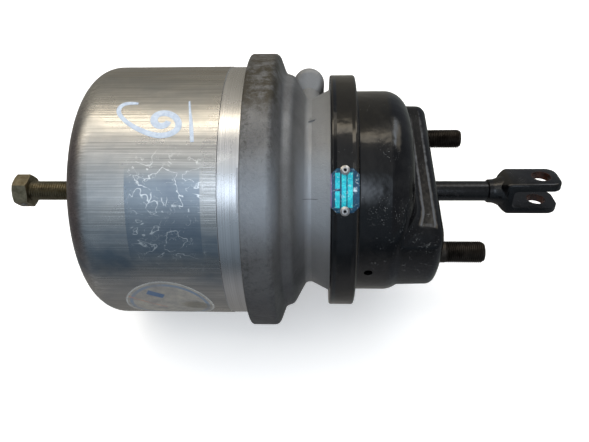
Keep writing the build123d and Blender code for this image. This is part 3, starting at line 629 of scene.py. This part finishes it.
paint = new_material("black paint", (0.008, 0.008, 0.009), 0, 0.16)
x = along_axis(paint)
angle = angle_round(paint)
ripple = noise(paint, space(paint), 85, 2, 0.5)
grain = noise(paint, space(paint), 1800, 3, 0.6)
dust = noise(paint, space(paint), 42, 7, 0.72, 0.3)
film = times(paint, span(paint, dust, 0.50, 0.75), span(paint, x, -0.062, -0.050, 0.04, 0.13))
specks = span(paint, cells(paint, space(paint), 520), 0.10, 0.05)
speck_places = span(
    paint, noise(paint, space(paint), 60, 2), span(paint, x, -0.045, -0.030, 0.56, 0.48), 0.64
)
low_on_bowl = times(paint, field(paint, angle, 126, 190, 14), span(paint, x, -0.056, -0.048))
lines = times(paint, low_on_bowl, scratches(paint, space(paint), 120, 0.009, 0.58))
scuffs = times(paint, low_on_bowl, span(paint, noise(paint, space(paint), 210, 7, 0.8), 0.60, 0.72))
black = layers(
    paint,
    (0.0016, 0.0016, 0.0020),
    (film, (0.09, 0.09, 0.09)),
    (times(paint, specks, speck_places, 0.5), (0.45, 0.45, 0.43)),
    (times(paint, lines, 0.35), (0.30, 0.31, 0.31)),
    (times(paint, scuffs, 0.45), (0.26, 0.27, 0.27)),
)
print("Clamp ring's middle at X", round(clamp_middle, 4))

# %% [markdown]
# ## Chips in the paint
#
# Stones have chipped the bowl in a few places. A chip is a cell that lies near one of them,
# and a noise leaves most cells out, so the chips cluster without a pattern. The front edge of
# the clamp ring has also lost some of its gloss and turned brownish.

# %% Chips in the paint
chipped_places = (  # X, radius and angle of each
    (-0.0435, 0.081, 137.8),
    (-0.0407, 0.081, 111.5),
    (-0.0487, 0.081, 143.2),
    (-0.0325, 0.081, 141.7),
)

chip_cells = span(paint, cells(paint, space(paint, turn=20), 900), 0.22, 0.12)
patchy = span(paint, noise(paint, space(paint), 420, 4, 0.7), 0.47, 0.55)
chips = [
    times(paint, span(paint, distance_to(paint, on_round(*place)), 0.003, 0.009, 1, 0), chip_cells, patchy)
    for place in chipped_places
]
front_edge = field(paint, x, clamp_high[0] - 0.0016, clamp_high[0] + 0.0006, 0.0004)
black = layers(
    paint,
    black,
    *((times(paint, chip, 0.7), (0.42, 0.43, 0.43)) for chip in chips),
    (times(paint, front_edge, 0.55), (0.030, 0.025, 0.019)),
)
rolled_edges = field(paint, away_from(paint, x, clamp_middle), 0.0052, 0.0105, 0.0022)
set_color(paint, black)
set_roughness(
    paint, calc(paint, "ADD", span(paint, dust, 0.4, 0.8, 0.08, 0.24), times(paint, lines, 0.3))
)
set_bump(paint, (ripple, 0.0004), (rolled_edges, 0.0010), (grain, 0.000012))

# %% [markdown]
# ## Paint of the rod and yoke
#
# The rod and the yoke are black too, and the paint is rubbed grey on their corners. Where the
# pin goes through the ears the paint is gone, and the bare steel has rusted. The rust is
# measured from the pin's axis, in coordinates turned as the yoke is.

# %% Paint of the rod and yoke
yoke_lean = 17  # degrees that the ears point off upright
pin_x = 0.087  # where the pin crosses the main axis

rod_paint = new_material("rod paint", (0.004, 0.004, 0.0045), 0, 0.2)
rub = noise(rod_paint, space(rod_paint), 120, 6, 0.7)
x, y, _ = axes(rod_paint, space(rod_paint, turn=yoke_lean))
from_pin = reach(rod_paint, calc(rod_paint, "SUBTRACT", x, pin_x), y)
rust_share = times(
    rod_paint, span(rod_paint, from_pin, 0.0073, 0.0078, 1, 0), span(rod_paint, x, 0.070, 0.071)
)
rust_tone = blend(rod_paint, span(rod_paint, rub, 0.42, 0.62), (0.050, 0.019, 0.012), (0.016, 0.009, 0.007))
painted = layers(
    rod_paint,
    (0.0018, 0.0018, 0.0022),
    (span(rod_paint, rub, 0.52, 0.8, 0, 0.25), (0.05, 0.05, 0.052)),
    (rust_share, rust_tone),
)
set_color(rod_paint, painted)
set_roughness(rod_paint, span(rod_paint, rub, 0.3, 0.8, 0.14, 0.34))
set_bump(rod_paint, (noise(rod_paint, space(rod_paint), 260, 4), 0.0002))

# %% [markdown]
# ## Bare and plated steel
#
# The studs are phosphated nearly black, the release bolt and its hex are yellow passivated,
# gone olive and bronze, and the inner steel is plain. Each gets its own colours and one wide
# noise that wears it.

# %% Steels
def steel(name, dark, light, roughness, wear_scale):
    """A metal finish that shifts between two colours."""
    made = new_material(name, dark, 1, roughness)
    wear = noise(made, space(made), wear_scale, 6, 0.65)
    set_color(made, blend(made, span(made, wear, 0.35, 0.7), dark, light))
    set_roughness(made, span(made, wear, 0.3, 0.7, roughness, roughness + 0.16))
    set_bump(made, (noise(made, space(made), 1200, 4), 0.00006))
    return made


stud_finish = steel("phosphated steel", (0.045, 0.038, 0.032), (0.11, 0.095, 0.08), 0.45, 190)
passivated = steel("passivated steel", (0.16, 0.135, 0.085), (0.33, 0.29, 0.20), 0.36, 210)
plain_steel = steel("plain steel", (0.40, 0.40, 0.41), (0.60, 0.60, 0.60), 0.3, 120)
spring_finish = steel("oiled spring steel", (0.07, 0.07, 0.075), (0.14, 0.14, 0.145), 0.35, 90)
rivet_metal = steel("rivet aluminium", (0.55, 0.53, 0.51), (0.80, 0.78, 0.76), 0.26, 700)

# %% [markdown]
# ## Hollow rivets
#
# The two rivets of the nameplate are open in the middle, with a hole about two millimetres
# wide in each head. The hole's darkness is painted shade: a dark disc laid over the rivets'
# colour, measured from the middle of each head. Both rivets lie at the same angle to either
# side of the near side, so one distance from it serves for both.

# %% Hollow rivets
rivet_low, rivet_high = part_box("nameplate_rivets")
rivet_tilt = 8.43  # degrees from the plate's middle to each rivet
metres_per_degree = radians(1) * 0.0918  # along the ring's surface

from_plate = away_from(rivet_metal, angle_round(rivet_metal), near_side)
round_way = times(rivet_metal, calc(rivet_metal, "SUBTRACT", from_plate, rivet_tilt), metres_per_degree)
rivet_middle = (rivet_low[0] + rivet_high[0]) / 2
along_ring = calc(rivet_metal, "SUBTRACT", along_axis(rivet_metal), rivet_middle)
from_head = reach(rivet_metal, along_ring, round_way)
# The darkness of the hole in each head: painted shade.
hole_shade = span(rivet_metal, from_head, 0.0009, 0.0013, 1, 0)
head_color = shader_input(rivet_metal, "Base Color").links[0].from_socket
set_color(rivet_metal, blend(rivet_metal, hole_shade, head_color, (0.02, 0.02, 0.022)))
print("Rivets' middles at X", round(rivet_middle, 4))

# %% [markdown]
# ## Rubber and nylon
#
# The seals and the diaphragm are black rubber, and the guides are natural nylon, which is
# ivory. They show only when the chamber is opened, so one noise is enough to keep each alive.

# %% Rubber and nylon
rubber = new_material("black rubber", (0.022, 0.022, 0.022), 0, 0.62)
bloom = noise(rubber, space(rubber), 180, 5)
set_color(rubber, blend(rubber, bloom, (0.015, 0.015, 0.015), (0.04, 0.04, 0.04)))
set_bump(rubber, (noise(rubber, space(rubber), 700, 4), 0.0001))
nylon = new_material("natural nylon", (0.74, 0.70, 0.58), 0, 0.45)
yellowing = noise(nylon, space(nylon), 120, 5)
set_color(nylon, blend(nylon, yellowing, (0.78, 0.74, 0.62), (0.68, 0.63, 0.5)))

# %% [markdown]
# ## Printed foil
#
# A thin plate of anodised foil is riveted to the ring. It is dark blue with bright cyan fields
# where data would be stamped, and they are left blank. Each field is a step in X times a step
# in the angle about the axis, so the print bends with the plate. The foil is scored. A white
# smear beside the fields is a painted highlight, and a thin purple line along its rear edge
# is a painted glint.

# %% Printed foil
plate_fields = (  # X from and to in millimetres, angle from and to
    (-78.3, -75.1, 123.6, 130.2),
    (-78.3, -75.1, 131.2, 138.2),
    (-74.0, -70.8, 123.9, 138.0),
    (-70.1, -66.6, 123.5, 138.0),
)

foil = new_material("blue foil", (0.01, 0.05, 0.09), 0.35, 0.22)
x = along_axis(foil)
angle = angle_round(foil)
smear = noise(foil, space(foil), 260, 6, 0.7)
cyan = blend(foil, span(foil, smear, 0.42, 0.62), (0.0, 0.36, 0.46), (0.03, 0.62, 0.66))
cyan_shares = [
    times(foil, field(foil, x, low / 1000, high / 1000, 0.0001), field(foil, angle, start, stop, 0.08))
    for low, high, start, stop in plate_fields
]
# How far the surface is from a painted white highlight, its edge made ragged by a noise.
from_glint = calc(foil, "ADD", distance_to(foil, on_round(-0.0652, 0.092, 130.6)), times(foil, smear, 0.010))
printed = layers(
    foil,
    (0.006, 0.035, 0.085),
    (span(foil, smear, 0.4, 0.7), (0.012, 0.09, 0.14)),
    # A thin purple painted glint along the plate's rear edge.
    (span(foil, x, -0.0808, -0.0804, 1, 0), (0.22, 0.12, 0.26)),
    *((share, cyan) for share in cyan_shares),
    # A white smear of painted highlight.
    (span(foil, from_glint, 0.0048, 0.0068, 0.9, 0), (0.72, 0.88, 0.95)),
    (times(foil, scratches(foil, space(foil), 190, 0.012, 0.5), 0.7), (0.7, 0.8, 0.8)),
)
set_color(foil, printed)
set_roughness(foil, span(foil, smear, 0.3, 0.7, 0.16, 0.34))
set_bump(foil, (smear, 0.00005))

# %% [markdown]
# ## Dressing the CAD nodes
#
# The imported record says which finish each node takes. A CAD node keeps its mesh and its place,
# and only the material in its slots changes.

# %% Finishes onto the CAD nodes
finishes = {
    "spun_aluminium": drawn,
    "cast_aluminium": casting,
    "black_paint": paint,
    "rod_paint": rod_paint,
    "stud_steel": stud_finish,
    "passivated_steel": passivated,
    "plain_steel": plain_steel,
    "spring_steel": spring_finish,
    "rubber": rubber,
    "nylon": nylon,
    "blue_foil": foil,
    "rivet_aluminium": rivet_metal,
}
for entry in frame["record"]["subparts"]:
    part = frame["nodes"][entry["node"]]
    for slot in part.material_slots:
        slot.material = finishes[entry["material_slot"]]
print(len(frame["nodes"]), "nodes wear", len(finishes), "finishes")

# %% [markdown]
# ## Threads
#
# The studs and the release bolt are threaded, with a groove that winds round them in a helix.
# A tooth could be swept along a helix and cut out of a bar, which is slow and leaves loose
# edges. Here a bar is drawn out of a circle in short steps, six to a turn of the thread, and
# each ring's points move in where the groove passes. The bar stays closed, and the groove
# fades out at both ends as a real one does.

# %% A turned bar, drawn out ring by ring
def pick(piece):
    """Leaves one piece selected and active."""
    bpy.ops.object.select_all(action="DESELECT")
    piece.select_set(True)
    bpy.context.view_layer.objects.active = piece


def turned_bar(name, outline, step, sides=40):
    """A closed bar round X from (x, radius) points."""
    bpy.ops.object.select_all(action="DESELECT")
    x, radius = outline[0]
    bpy.ops.mesh.primitive_circle_add(
        vertices=sides, radius=radius, fill_type="NGON", location=(x, 0, 0), rotation=(0, pi / 2, 0)
    )
    piece = bpy.context.object
    piece.name = name
    bpy.ops.object.transform_apply()
    bpy.ops.object.mode_set(mode="EDIT")
    bpy.ops.mesh.select_all(action="SELECT")
    for next_x, next_radius in outline[1:]:
        steps = max(1, round(abs(next_x - x) / step))
        travel, growth = (next_x - x) / steps, (next_radius - radius) / steps
        for _ in range(steps):
            bpy.ops.mesh.extrude_region_move(TRANSFORM_OT_translate={"value": (travel, 0, 0)})
            grown = (radius + growth) / radius
            bpy.ops.transform.resize(value=(1, grown, grown), center_override=(x, 0, 0))
            x, radius = x + travel, radius + growth
    bpy.ops.mesh.select_all(action="SELECT")
    bpy.ops.mesh.normals_make_consistent(inside=False)
    bpy.ops.object.mode_set(mode="OBJECT")
    return piece


def cut_thread(piece, start, stop, depth, pitch):
    """Moves a bar's points in along a helix between two places on X."""
    for point in piece.data.vertices:
        x, y, z = point.co
        if not start < x < stop:
            continue
        phase = (x / pitch - atan2(z, y) / (2 * pi)) % 1
        tooth = min(max((abs(2 * phase - 1) - 0.15) / 0.7, 0), 1)
        fade = min(1, (x - start) / pitch, (stop - x) / pitch)
        shrink = 1 - depth * tooth * fade / hypot(y, z)
        point.co = (x, y * shrink, z * shrink)


def shade(piece, finish, limit=30):
    """Smooth shading up to an angle, and the piece's finish."""
    pick(piece)
    bpy.ops.object.shade_smooth_by_angle(angle=radians(limit))
    piece.data.materials.clear()
    piece.data.materials.append(finish)
    print(f"{piece.name}: {len(piece.data.polygons)} faces")


# %% Studs
stud_centre = 0.06035  # half the distance between the studs
stud_radius, stud_pitch = 0.0080, 0.0015
stud_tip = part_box("mounting_studs")[1][0]
stud_outline = (
    (-0.0085, 0.0086),
    (-0.0035, 0.0086),
    (-0.0034, 0.0084),
    (0.0, 0.0084),
    (0.0001, stud_radius),
    (stud_tip - 0.0020, stud_radius),
    (stud_tip, 0.0066),
)
stud = turned_bar("threaded_studs", stud_outline, stud_pitch / 6)
cut_thread(stud, 0.0045, stud_tip - 0.0001, 0.00092, stud_pitch)
bpy.ops.object.duplicate(linked=False)
other_stud = bpy.context.object
for piece, place in ((other_stud, -stud_centre), (stud, stud_centre)):
    pick(piece)
    bpy.ops.transform.translate(value=(0, place, 0))
    bpy.ops.object.transform_apply()
other_stud.select_set(True)
bpy.ops.object.join()
shade(stud, stud_finish)
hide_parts("mounting_studs")
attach(stud, "chamber")

# %% Release bolt
bolt_low, bolt_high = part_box("release_bolt")
bolt_start, bolt_end = bolt_low[0], bolt_high[0]
bolt_radius, bolt_pitch = 0.0080, 0.002
bolt_head, head_radius = 0.0030, 0.0105
bolt_outline = (
    (bolt_start, 0.0070),
    (bolt_start + 0.001, bolt_radius),
    (bolt_end - bolt_head - 0.0001, bolt_radius),
    (bolt_end - bolt_head, head_radius),
    (bolt_end, head_radius),
)
bolt = turned_bar("threaded_bolt", bolt_outline, bolt_pitch / 6)
cut_thread(bolt, bolt_start + 0.0005, bolt_end - 0.006, 0.0012, bolt_pitch)
shade(bolt, passivated)
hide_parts("release_bolt")
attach(bolt, "release_bolt")

# %% [markdown]
# ## Forged yoke
#
# The yoke is forged in one piece: a round neck that swells into a block, and a block that a
# slot splits into two ears with a hole for the pin. The block is a box whose end is drawn in
# towards the neck and whose edges are rounded, as a forging die leaves them. The slot, the hole
# and the rod's bore are then cut with plain cutters, as a mill and a drill would. Its ears point
# along a direction 17 degrees off upright, so all is built upright and turned at the end.

# %% Small helpers for blocks and cutters
def block(name, low, high):
    """A box between two corners."""
    bpy.ops.object.select_all(action="DESELECT")
    middle = [(a + b) / 2 for a, b in zip(low, high)]
    size = [b - a for a, b in zip(low, high)]
    bpy.ops.mesh.primitive_cube_add(size=1, location=middle, scale=size)
    piece = bpy.context.object
    piece.name = name
    bpy.ops.object.transform_apply()
    return piece


def drill(radius, depth, place, turn=(0, 0, 0)):
    """A round cutter."""
    bpy.ops.object.select_all(action="DESELECT")
    bpy.ops.mesh.primitive_cylinder_add(
        vertices=48, radius=radius, depth=depth, location=place, rotation=turn
    )
    return bpy.context.object


def round_edges(piece, radius, steps, chosen):
    """Rounds the edges that a test picks."""
    bpy.ops.object.mode_set(mode="EDIT")
    bpy.ops.mesh.select_mode(type="EDGE")
    bpy.ops.mesh.select_all(action="DESELECT")
    mesh = bmesh.from_edit_mesh(piece.data)
    for edge in mesh.edges:
        edge.select_set(chosen(edge))
    bmesh.update_edit_mesh(piece.data)
    bpy.ops.mesh.bevel(offset=radius, segments=steps, affect="EDGES")
    bpy.ops.object.mode_set(mode="OBJECT")


def combine(piece, other, operation):
    """Joins or cuts a piece with another one, which is then deleted."""
    pick(piece)
    step = piece.modifiers.new("step", "BOOLEAN")
    step.operation = operation
    step.object = other
    step.solver = "EXACT"
    bpy.ops.object.modifier_apply(modifier="step")
    pick(other)
    bpy.ops.object.delete()


# %% Yoke: the block
yoke_low, yoke_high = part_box("yoke")
yoke_rear, yoke_front = yoke_low[0], yoke_high[0] - 0.002
half_width, half_thick = 0.0135, 0.01375
block_rear, taper = 0.0600, 0.0055

yoke = block("forged_yoke", (block_rear, -half_width, -half_thick), (yoke_front, half_width, half_thick))
bpy.ops.object.mode_set(mode="EDIT")
bpy.ops.mesh.select_mode(type="FACE")
bpy.ops.mesh.select_all(action="DESELECT")
shape = bmesh.from_edit_mesh(yoke.data)
for face in shape.faces:
    face.select_set(face.normal.x < -0.9)
bmesh.update_edit_mesh(yoke.data)
bpy.ops.mesh.extrude_region_move(TRANSFORM_OT_translate={"value": (-taper, 0, 0)})
bpy.ops.transform.resize(value=(1, 0.66, 0.66), center_override=(block_rear, 0, 0))
bpy.ops.object.mode_set(mode="OBJECT")
round_edges(
    yoke,
    0.0085,
    6,
    lambda edge: all(v.co.x > yoke_front - 1e-5 for v in edge.verts)
    and abs(edge.verts[0].co.z - edge.verts[1].co.z) > 0.01,
)
round_edges(yoke, 0.0022, 3, lambda edge: edge.calc_face_angle(0) > radians(25))
print("Block:", len(yoke.data.polygons), "faces")

# %% Yoke: the neck and the cuts
slot_floor, half_gap = 0.064, 0.0075
pin_radius, bore_radius, bore_depth = 0.0071, 0.008, 0.014
neck_outline = (
    (yoke_rear, 0.0086),
    (yoke_rear + 0.0008, 0.0094),
    (yoke_rear + 0.0045, 0.0096),
    (yoke_rear + 0.0075, 0.0106),
    (yoke_rear + 0.0105, 0.0121),
    (slot_floor - 0.0022, 0.0124),
)
neck = turned_bar("neck", neck_outline, 0.001, sides=48)
combine(yoke, neck, "UNION")
slot_cutter = block("slot_cutter", (slot_floor, -0.02, -half_gap), (yoke_front + 0.01, 0.02, half_gap))
round_edges(
    slot_cutter,
    0.003,
    4,
    lambda edge: all(v.co.x < slot_floor + 1e-5 for v in edge.verts)
    and abs(edge.verts[0].co.y - edge.verts[1].co.y) > 0.01,
)
combine(yoke, slot_cutter, "DIFFERENCE")
combine(yoke, drill(pin_radius, 0.04, (pin_x, 0, 0)), "DIFFERENCE")
combine(yoke, drill(bore_radius, 2 * bore_depth, (yoke_rear, 0, 0), (0, pi / 2, 0)), "DIFFERENCE")
pick(yoke)
yoke.rotation_euler = (radians(-yoke_lean), 0, 0)
bpy.ops.object.transform_apply(rotation=True)
shade(yoke, rod_paint, 32)
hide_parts("yoke")
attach(yoke, "push_rod")

# %% [markdown]
# ## Pieces that give way to the stroke
#
# Two inner pieces change shape as the rod goes out. The diaphragm is a rubber cup whose rim is
# clamped while its bottom travels with the plate, and the return spring is pressed between the
# plate and the bowl. Each is built with many short steps along X.
# The cup is one closed outline turned about the axis, out along its rear face and back along
# its front, and the spring is round wire along a helix that narrows.

# %% Diaphragm
diaphragm_outline = (
    (-0.1010, 0.0020),
    (-0.1010, 0.0557),
    (-0.0960, 0.0607),
    (-0.0780, 0.0737),
    (-0.0732, 0.0757),
    (-0.0732, 0.0878),
    (-0.0702, 0.0878),
    (-0.0702, 0.0742),
    (-0.0765, 0.0707),
    (-0.0930, 0.0577),
    (-0.0980, 0.0542),
    (-0.0980, 0.0020),
)
cup = turned_bar("rolling_diaphragm", diaphragm_outline, 0.002, sides=72)
shade(cup, rubber)
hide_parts("diaphragm")
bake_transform(cup)


# %% Return spring
def wire(name, points, radius, smoothness):
    """Round wire along a smooth line through points, each a place and a share of the radius."""
    line = bpy.data.curves.new(name, "CURVE")
    line.dimensions = "3D"
    line.bevel_depth = radius
    line.bevel_resolution = 3
    line.use_fill_caps = True
    line.resolution_u = smoothness
    spline = line.splines.new("NURBS")
    spline.points.add(len(points) - 1)
    for point, (place, share) in zip(spline.points, points):
        point.co = (*place, 1)
        point.radius = share
    spline.order_u = 4
    spline.use_endpoint_u = True
    piece = bpy.data.objects.new(name, line)
    bpy.context.collection.objects.link(piece)
    pick(piece)
    bpy.ops.object.convert(target="MESH")
    return bpy.context.object


spring_turns = 5
steps_per_turn = 24
plate_end, bowl_end = (-0.0914, 0.0440), (-0.0098, 0.0165)  # X and radius of the first and last turn

helix = []
for number in range(spring_turns * steps_per_turn + 1):
    passed = number / (spring_turns * steps_per_turn)
    x, radius = (a + passed * (b - a) for a, b in zip(plate_end, bowl_end))
    helix.append((on_round(x, radius, 360 * number / steps_per_turn), 1.0))
coil = wire("coil_spring", helix, 0.0025, 2)
shade(coil, spring_finish)
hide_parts("return_spring")
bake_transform(coil)

# %% [markdown]
# ## Paint-marker strokes
#
# Someone in the store marked the cylinder with a pale paint marker: a loose loop with a tail,
# and a dash beside it. Paint lies on the metal as a low bead. A round bead is drawn along a
# smooth line on the cylinder, made a mesh, and pressed flat towards the axis, so its rim sinks
# into the surface and its crown stands a fifth of a millimetre proud.

# %% Paint-marker strokes
cylinder_radius = 0.099
pressed_share = 0.1  # of a bead's height

marker = new_material("marker paint", (0.5, 0.57, 0.68), 0, 0.45)
thin_spots = noise(marker, space(marker), 300, 5, 0.65)
set_color(marker, blend(marker, span(marker, thin_spots, 0.35, 0.7), (0.42, 0.50, 0.63), (0.62, 0.70, 0.80)))
set_roughness(marker, span(marker, thin_spots, 0.3, 0.7, 0.35, 0.55))
set_bump(marker, (thin_spots, 0.0001))


def marker_stroke(name, points, width):
    """A low bead of paint through (X in millimetres, angle, share of the width) points."""
    line = [(on_round(x / 1000, cylinder_radius, angle), share) for x, angle, share in points]
    stroke = wire(name, line, width / 2, 10)
    for point in stroke.data.vertices:
        x, y, z = point.co
        distance = hypot(y, z)
        pressed = cylinder_radius + 0.00006 + pressed_share * (distance - cylinder_radius)
        point.co = (x, y * pressed / distance, z * pressed / distance)
    shade(stroke, marker, 60)
    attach(stroke, "chamber")


loop_points = (
    (-213.0, 94.0, 0.6),
    (-219.5, 93.4, 1.0),
    (-225.6, 94.6, 1.0),
    (-226.0, 99.0, 0.9),
    (-220.0, 102.6, 0.9),
    (-213.8, 105.4, 1.0),
    (-205.8, 107.7, 1.1),
    (-197.5, 109.5, 1.2),
    (-189.0, 109.2, 1.25),
    (-183.0, 107.0, 1.3),
    (-182.5, 103.4, 1.35),
    (-186.8, 100.2, 1.35),
    (-193.6, 98.6, 1.5),
    (-199.8, 99.8, 1.5),
    (-200.6, 103.0, 1.5),
    (-197.0, 105.4, 1.4),
    (-191.5, 105.2, 1.5),
    (-190.0, 103.0, 1.2),
)
dash_points = (
    (-177.9, 92.8, 0.4),
    (-176.6, 97.5, 0.45),
    (-174.9, 102.4, 0.8),
    (-173.8, 107.5, 1.0),
    (-172.8, 112.1, 0.8),
)
marker_stroke("marker_loop", loop_points, 0.0034)
marker_stroke("marker_dash", dash_points, 0.0030)

# %% [markdown]
# ## Round sticker
#
# A round transfer sits low on the cylinder, half out of sight. It is a flat disc that takes
# the cylinder's curve. The disc is cut across every few millimetres, so it has edges to bend
# at, its flat shape is kept as a UV map for the print, and then each point goes to its X and
# its angle on the cylinder. Solidify gives it the thickness of a thick foil.

# %% Round sticker
sticker_radius = 0.0325
sticker_x, sticker_angle = -0.1995, 190.0
cut_spacing = 0.002

bpy.ops.object.select_all(action="DESELECT")
bpy.ops.mesh.primitive_circle_add(vertices=96, radius=sticker_radius, fill_type="NGON", location=(0, 0, 0))
sticker = bpy.context.object
sticker.name = "round_sticker"
bpy.ops.object.mode_set(mode="EDIT")
for cut in range(-15, 16):
    bpy.ops.mesh.select_all(action="SELECT")
    bpy.ops.mesh.bisect(plane_co=(0, cut * cut_spacing + 0.0001, 0), plane_no=(0, 1, 0))
bpy.ops.object.mode_set(mode="OBJECT")
flat_map = sticker.data.uv_layers.new(name="flat")
for loop in sticker.data.loops:
    across, along = sticker.data.vertices[loop.vertex_index].co.xy
    flat_map.data[loop.index].uv = (across / sticker_radius / 2 + 0.5, along / sticker_radius / 2 + 0.5)
for point in sticker.data.vertices:
    across, along, _ = point.co
    angle = sticker_angle + degrees(along / cylinder_radius)
    point.co = on_round(sticker_x + across, cylinder_radius + 0.00004, angle)
thickness = sticker.modifiers.new("thickness", "SOLIDIFY")
thickness.thickness = 0.00012
thickness.offset = 1
bpy.ops.object.modifier_apply(modifier="thickness")
bpy.ops.object.mode_set(mode="EDIT")
bpy.ops.mesh.select_all(action="SELECT")
bpy.ops.mesh.normals_make_consistent(inside=False)
bpy.ops.object.mode_set(mode="OBJECT")
print("Sticker at X", sticker_x)

# %% [markdown]
# ## Print of the sticker
#
# The print is worn: a pale rim, a blue ring, a blue block, a thin red line and a brown stain,
# with no words. All are drawn on the flat map, with (0, 0) in its middle and its edge at 0.5.
# The ring is a field of distances from the middle. The block and the line are fields in axes
# that are moved and turned to where each lies.

# %% Print of the sticker
print_finish = new_material("sticker print", (0.3, 0.3, 0.28), 0.3, 0.4)
u, v, _ = axes(print_finish, node(print_finish, "ShaderNodeTexCoord").outputs["UV"])
right = calc(print_finish, "SUBTRACT", u, 0.5)
down = calc(print_finish, "SUBTRACT", v, 0.5)
from_centre = reach(print_finish, right, down)
worn = noise(print_finish, space(print_finish), 120, 6, 0.7)


def print_axes(sideways, downwards, turn):
    """Two axes of the print, centred on a place and turned by some degrees."""
    shifted_right = calc(print_finish, "SUBTRACT", right, sideways)
    shifted_down = calc(print_finish, "SUBTRACT", down, downwards)
    c, s = cos(radians(turn)), sin(radians(turn))
    along = calc(
        print_finish, "ADD", times(print_finish, shifted_right, c), times(print_finish, shifted_down, s)
    )
    across = calc(
        print_finish, "SUBTRACT", times(print_finish, shifted_down, c), times(print_finish, shifted_right, s)
    )
    return along, across


# %% Marks of the print
rim_share = times(print_finish, field(print_finish, from_centre, 0.478, 0.52, 0.006), 0.5)
ring_share = times(
    print_finish,
    field(print_finish, from_centre, 0.415, 0.458, 0.006),
    span(print_finish, worn, 0.4, 0.6, 0.8, 0.25),
)
along, across = print_axes(-0.115, -0.26, 28)
block_share = times(
    print_finish,
    field(print_finish, along, -0.1, 0.1, 0.01),
    field(print_finish, across, -0.05, 0.05, 0.01),
    0.85,
)
along, across = print_axes(-0.25, -0.07, 38)
line_share = times(
    print_finish,
    field(print_finish, along, -0.24, 0.26, 0.02),
    field(print_finish, across, -0.016, 0.016, 0.01),
    span(print_finish, worn, 0.4, 0.6, 0.75, 0.2),
)
along, across = print_axes(0.30, 0.02, 12)
stain_reach = calc(
    print_finish, "ADD", times(print_finish, along, along, 30), times(print_finish, across, across, 60)
)
ground = layers(
    print_finish,
    (0.30, 0.29, 0.26),
    (span(print_finish, worn, 0.35, 0.65), (0.20, 0.20, 0.20)),
    (rim_share, (0.42, 0.45, 0.46)),
    (ring_share, (0.10, 0.17, 0.28)),
    (block_share, (0.045, 0.11, 0.23)),
    (line_share, (0.42, 0.17, 0.12)),
    (span(print_finish, stain_reach, 0.5, 1.0, 0.6, 0), (0.13, 0.12, 0.09)),
)
set_color(print_finish, ground)
set_roughness(print_finish, span(print_finish, worn, 0.3, 0.7, 0.3, 0.5))
set_bump(print_finish, (worn, 0.00008))
shade(sticker, print_finish, 40)
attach(sticker, "chamber")
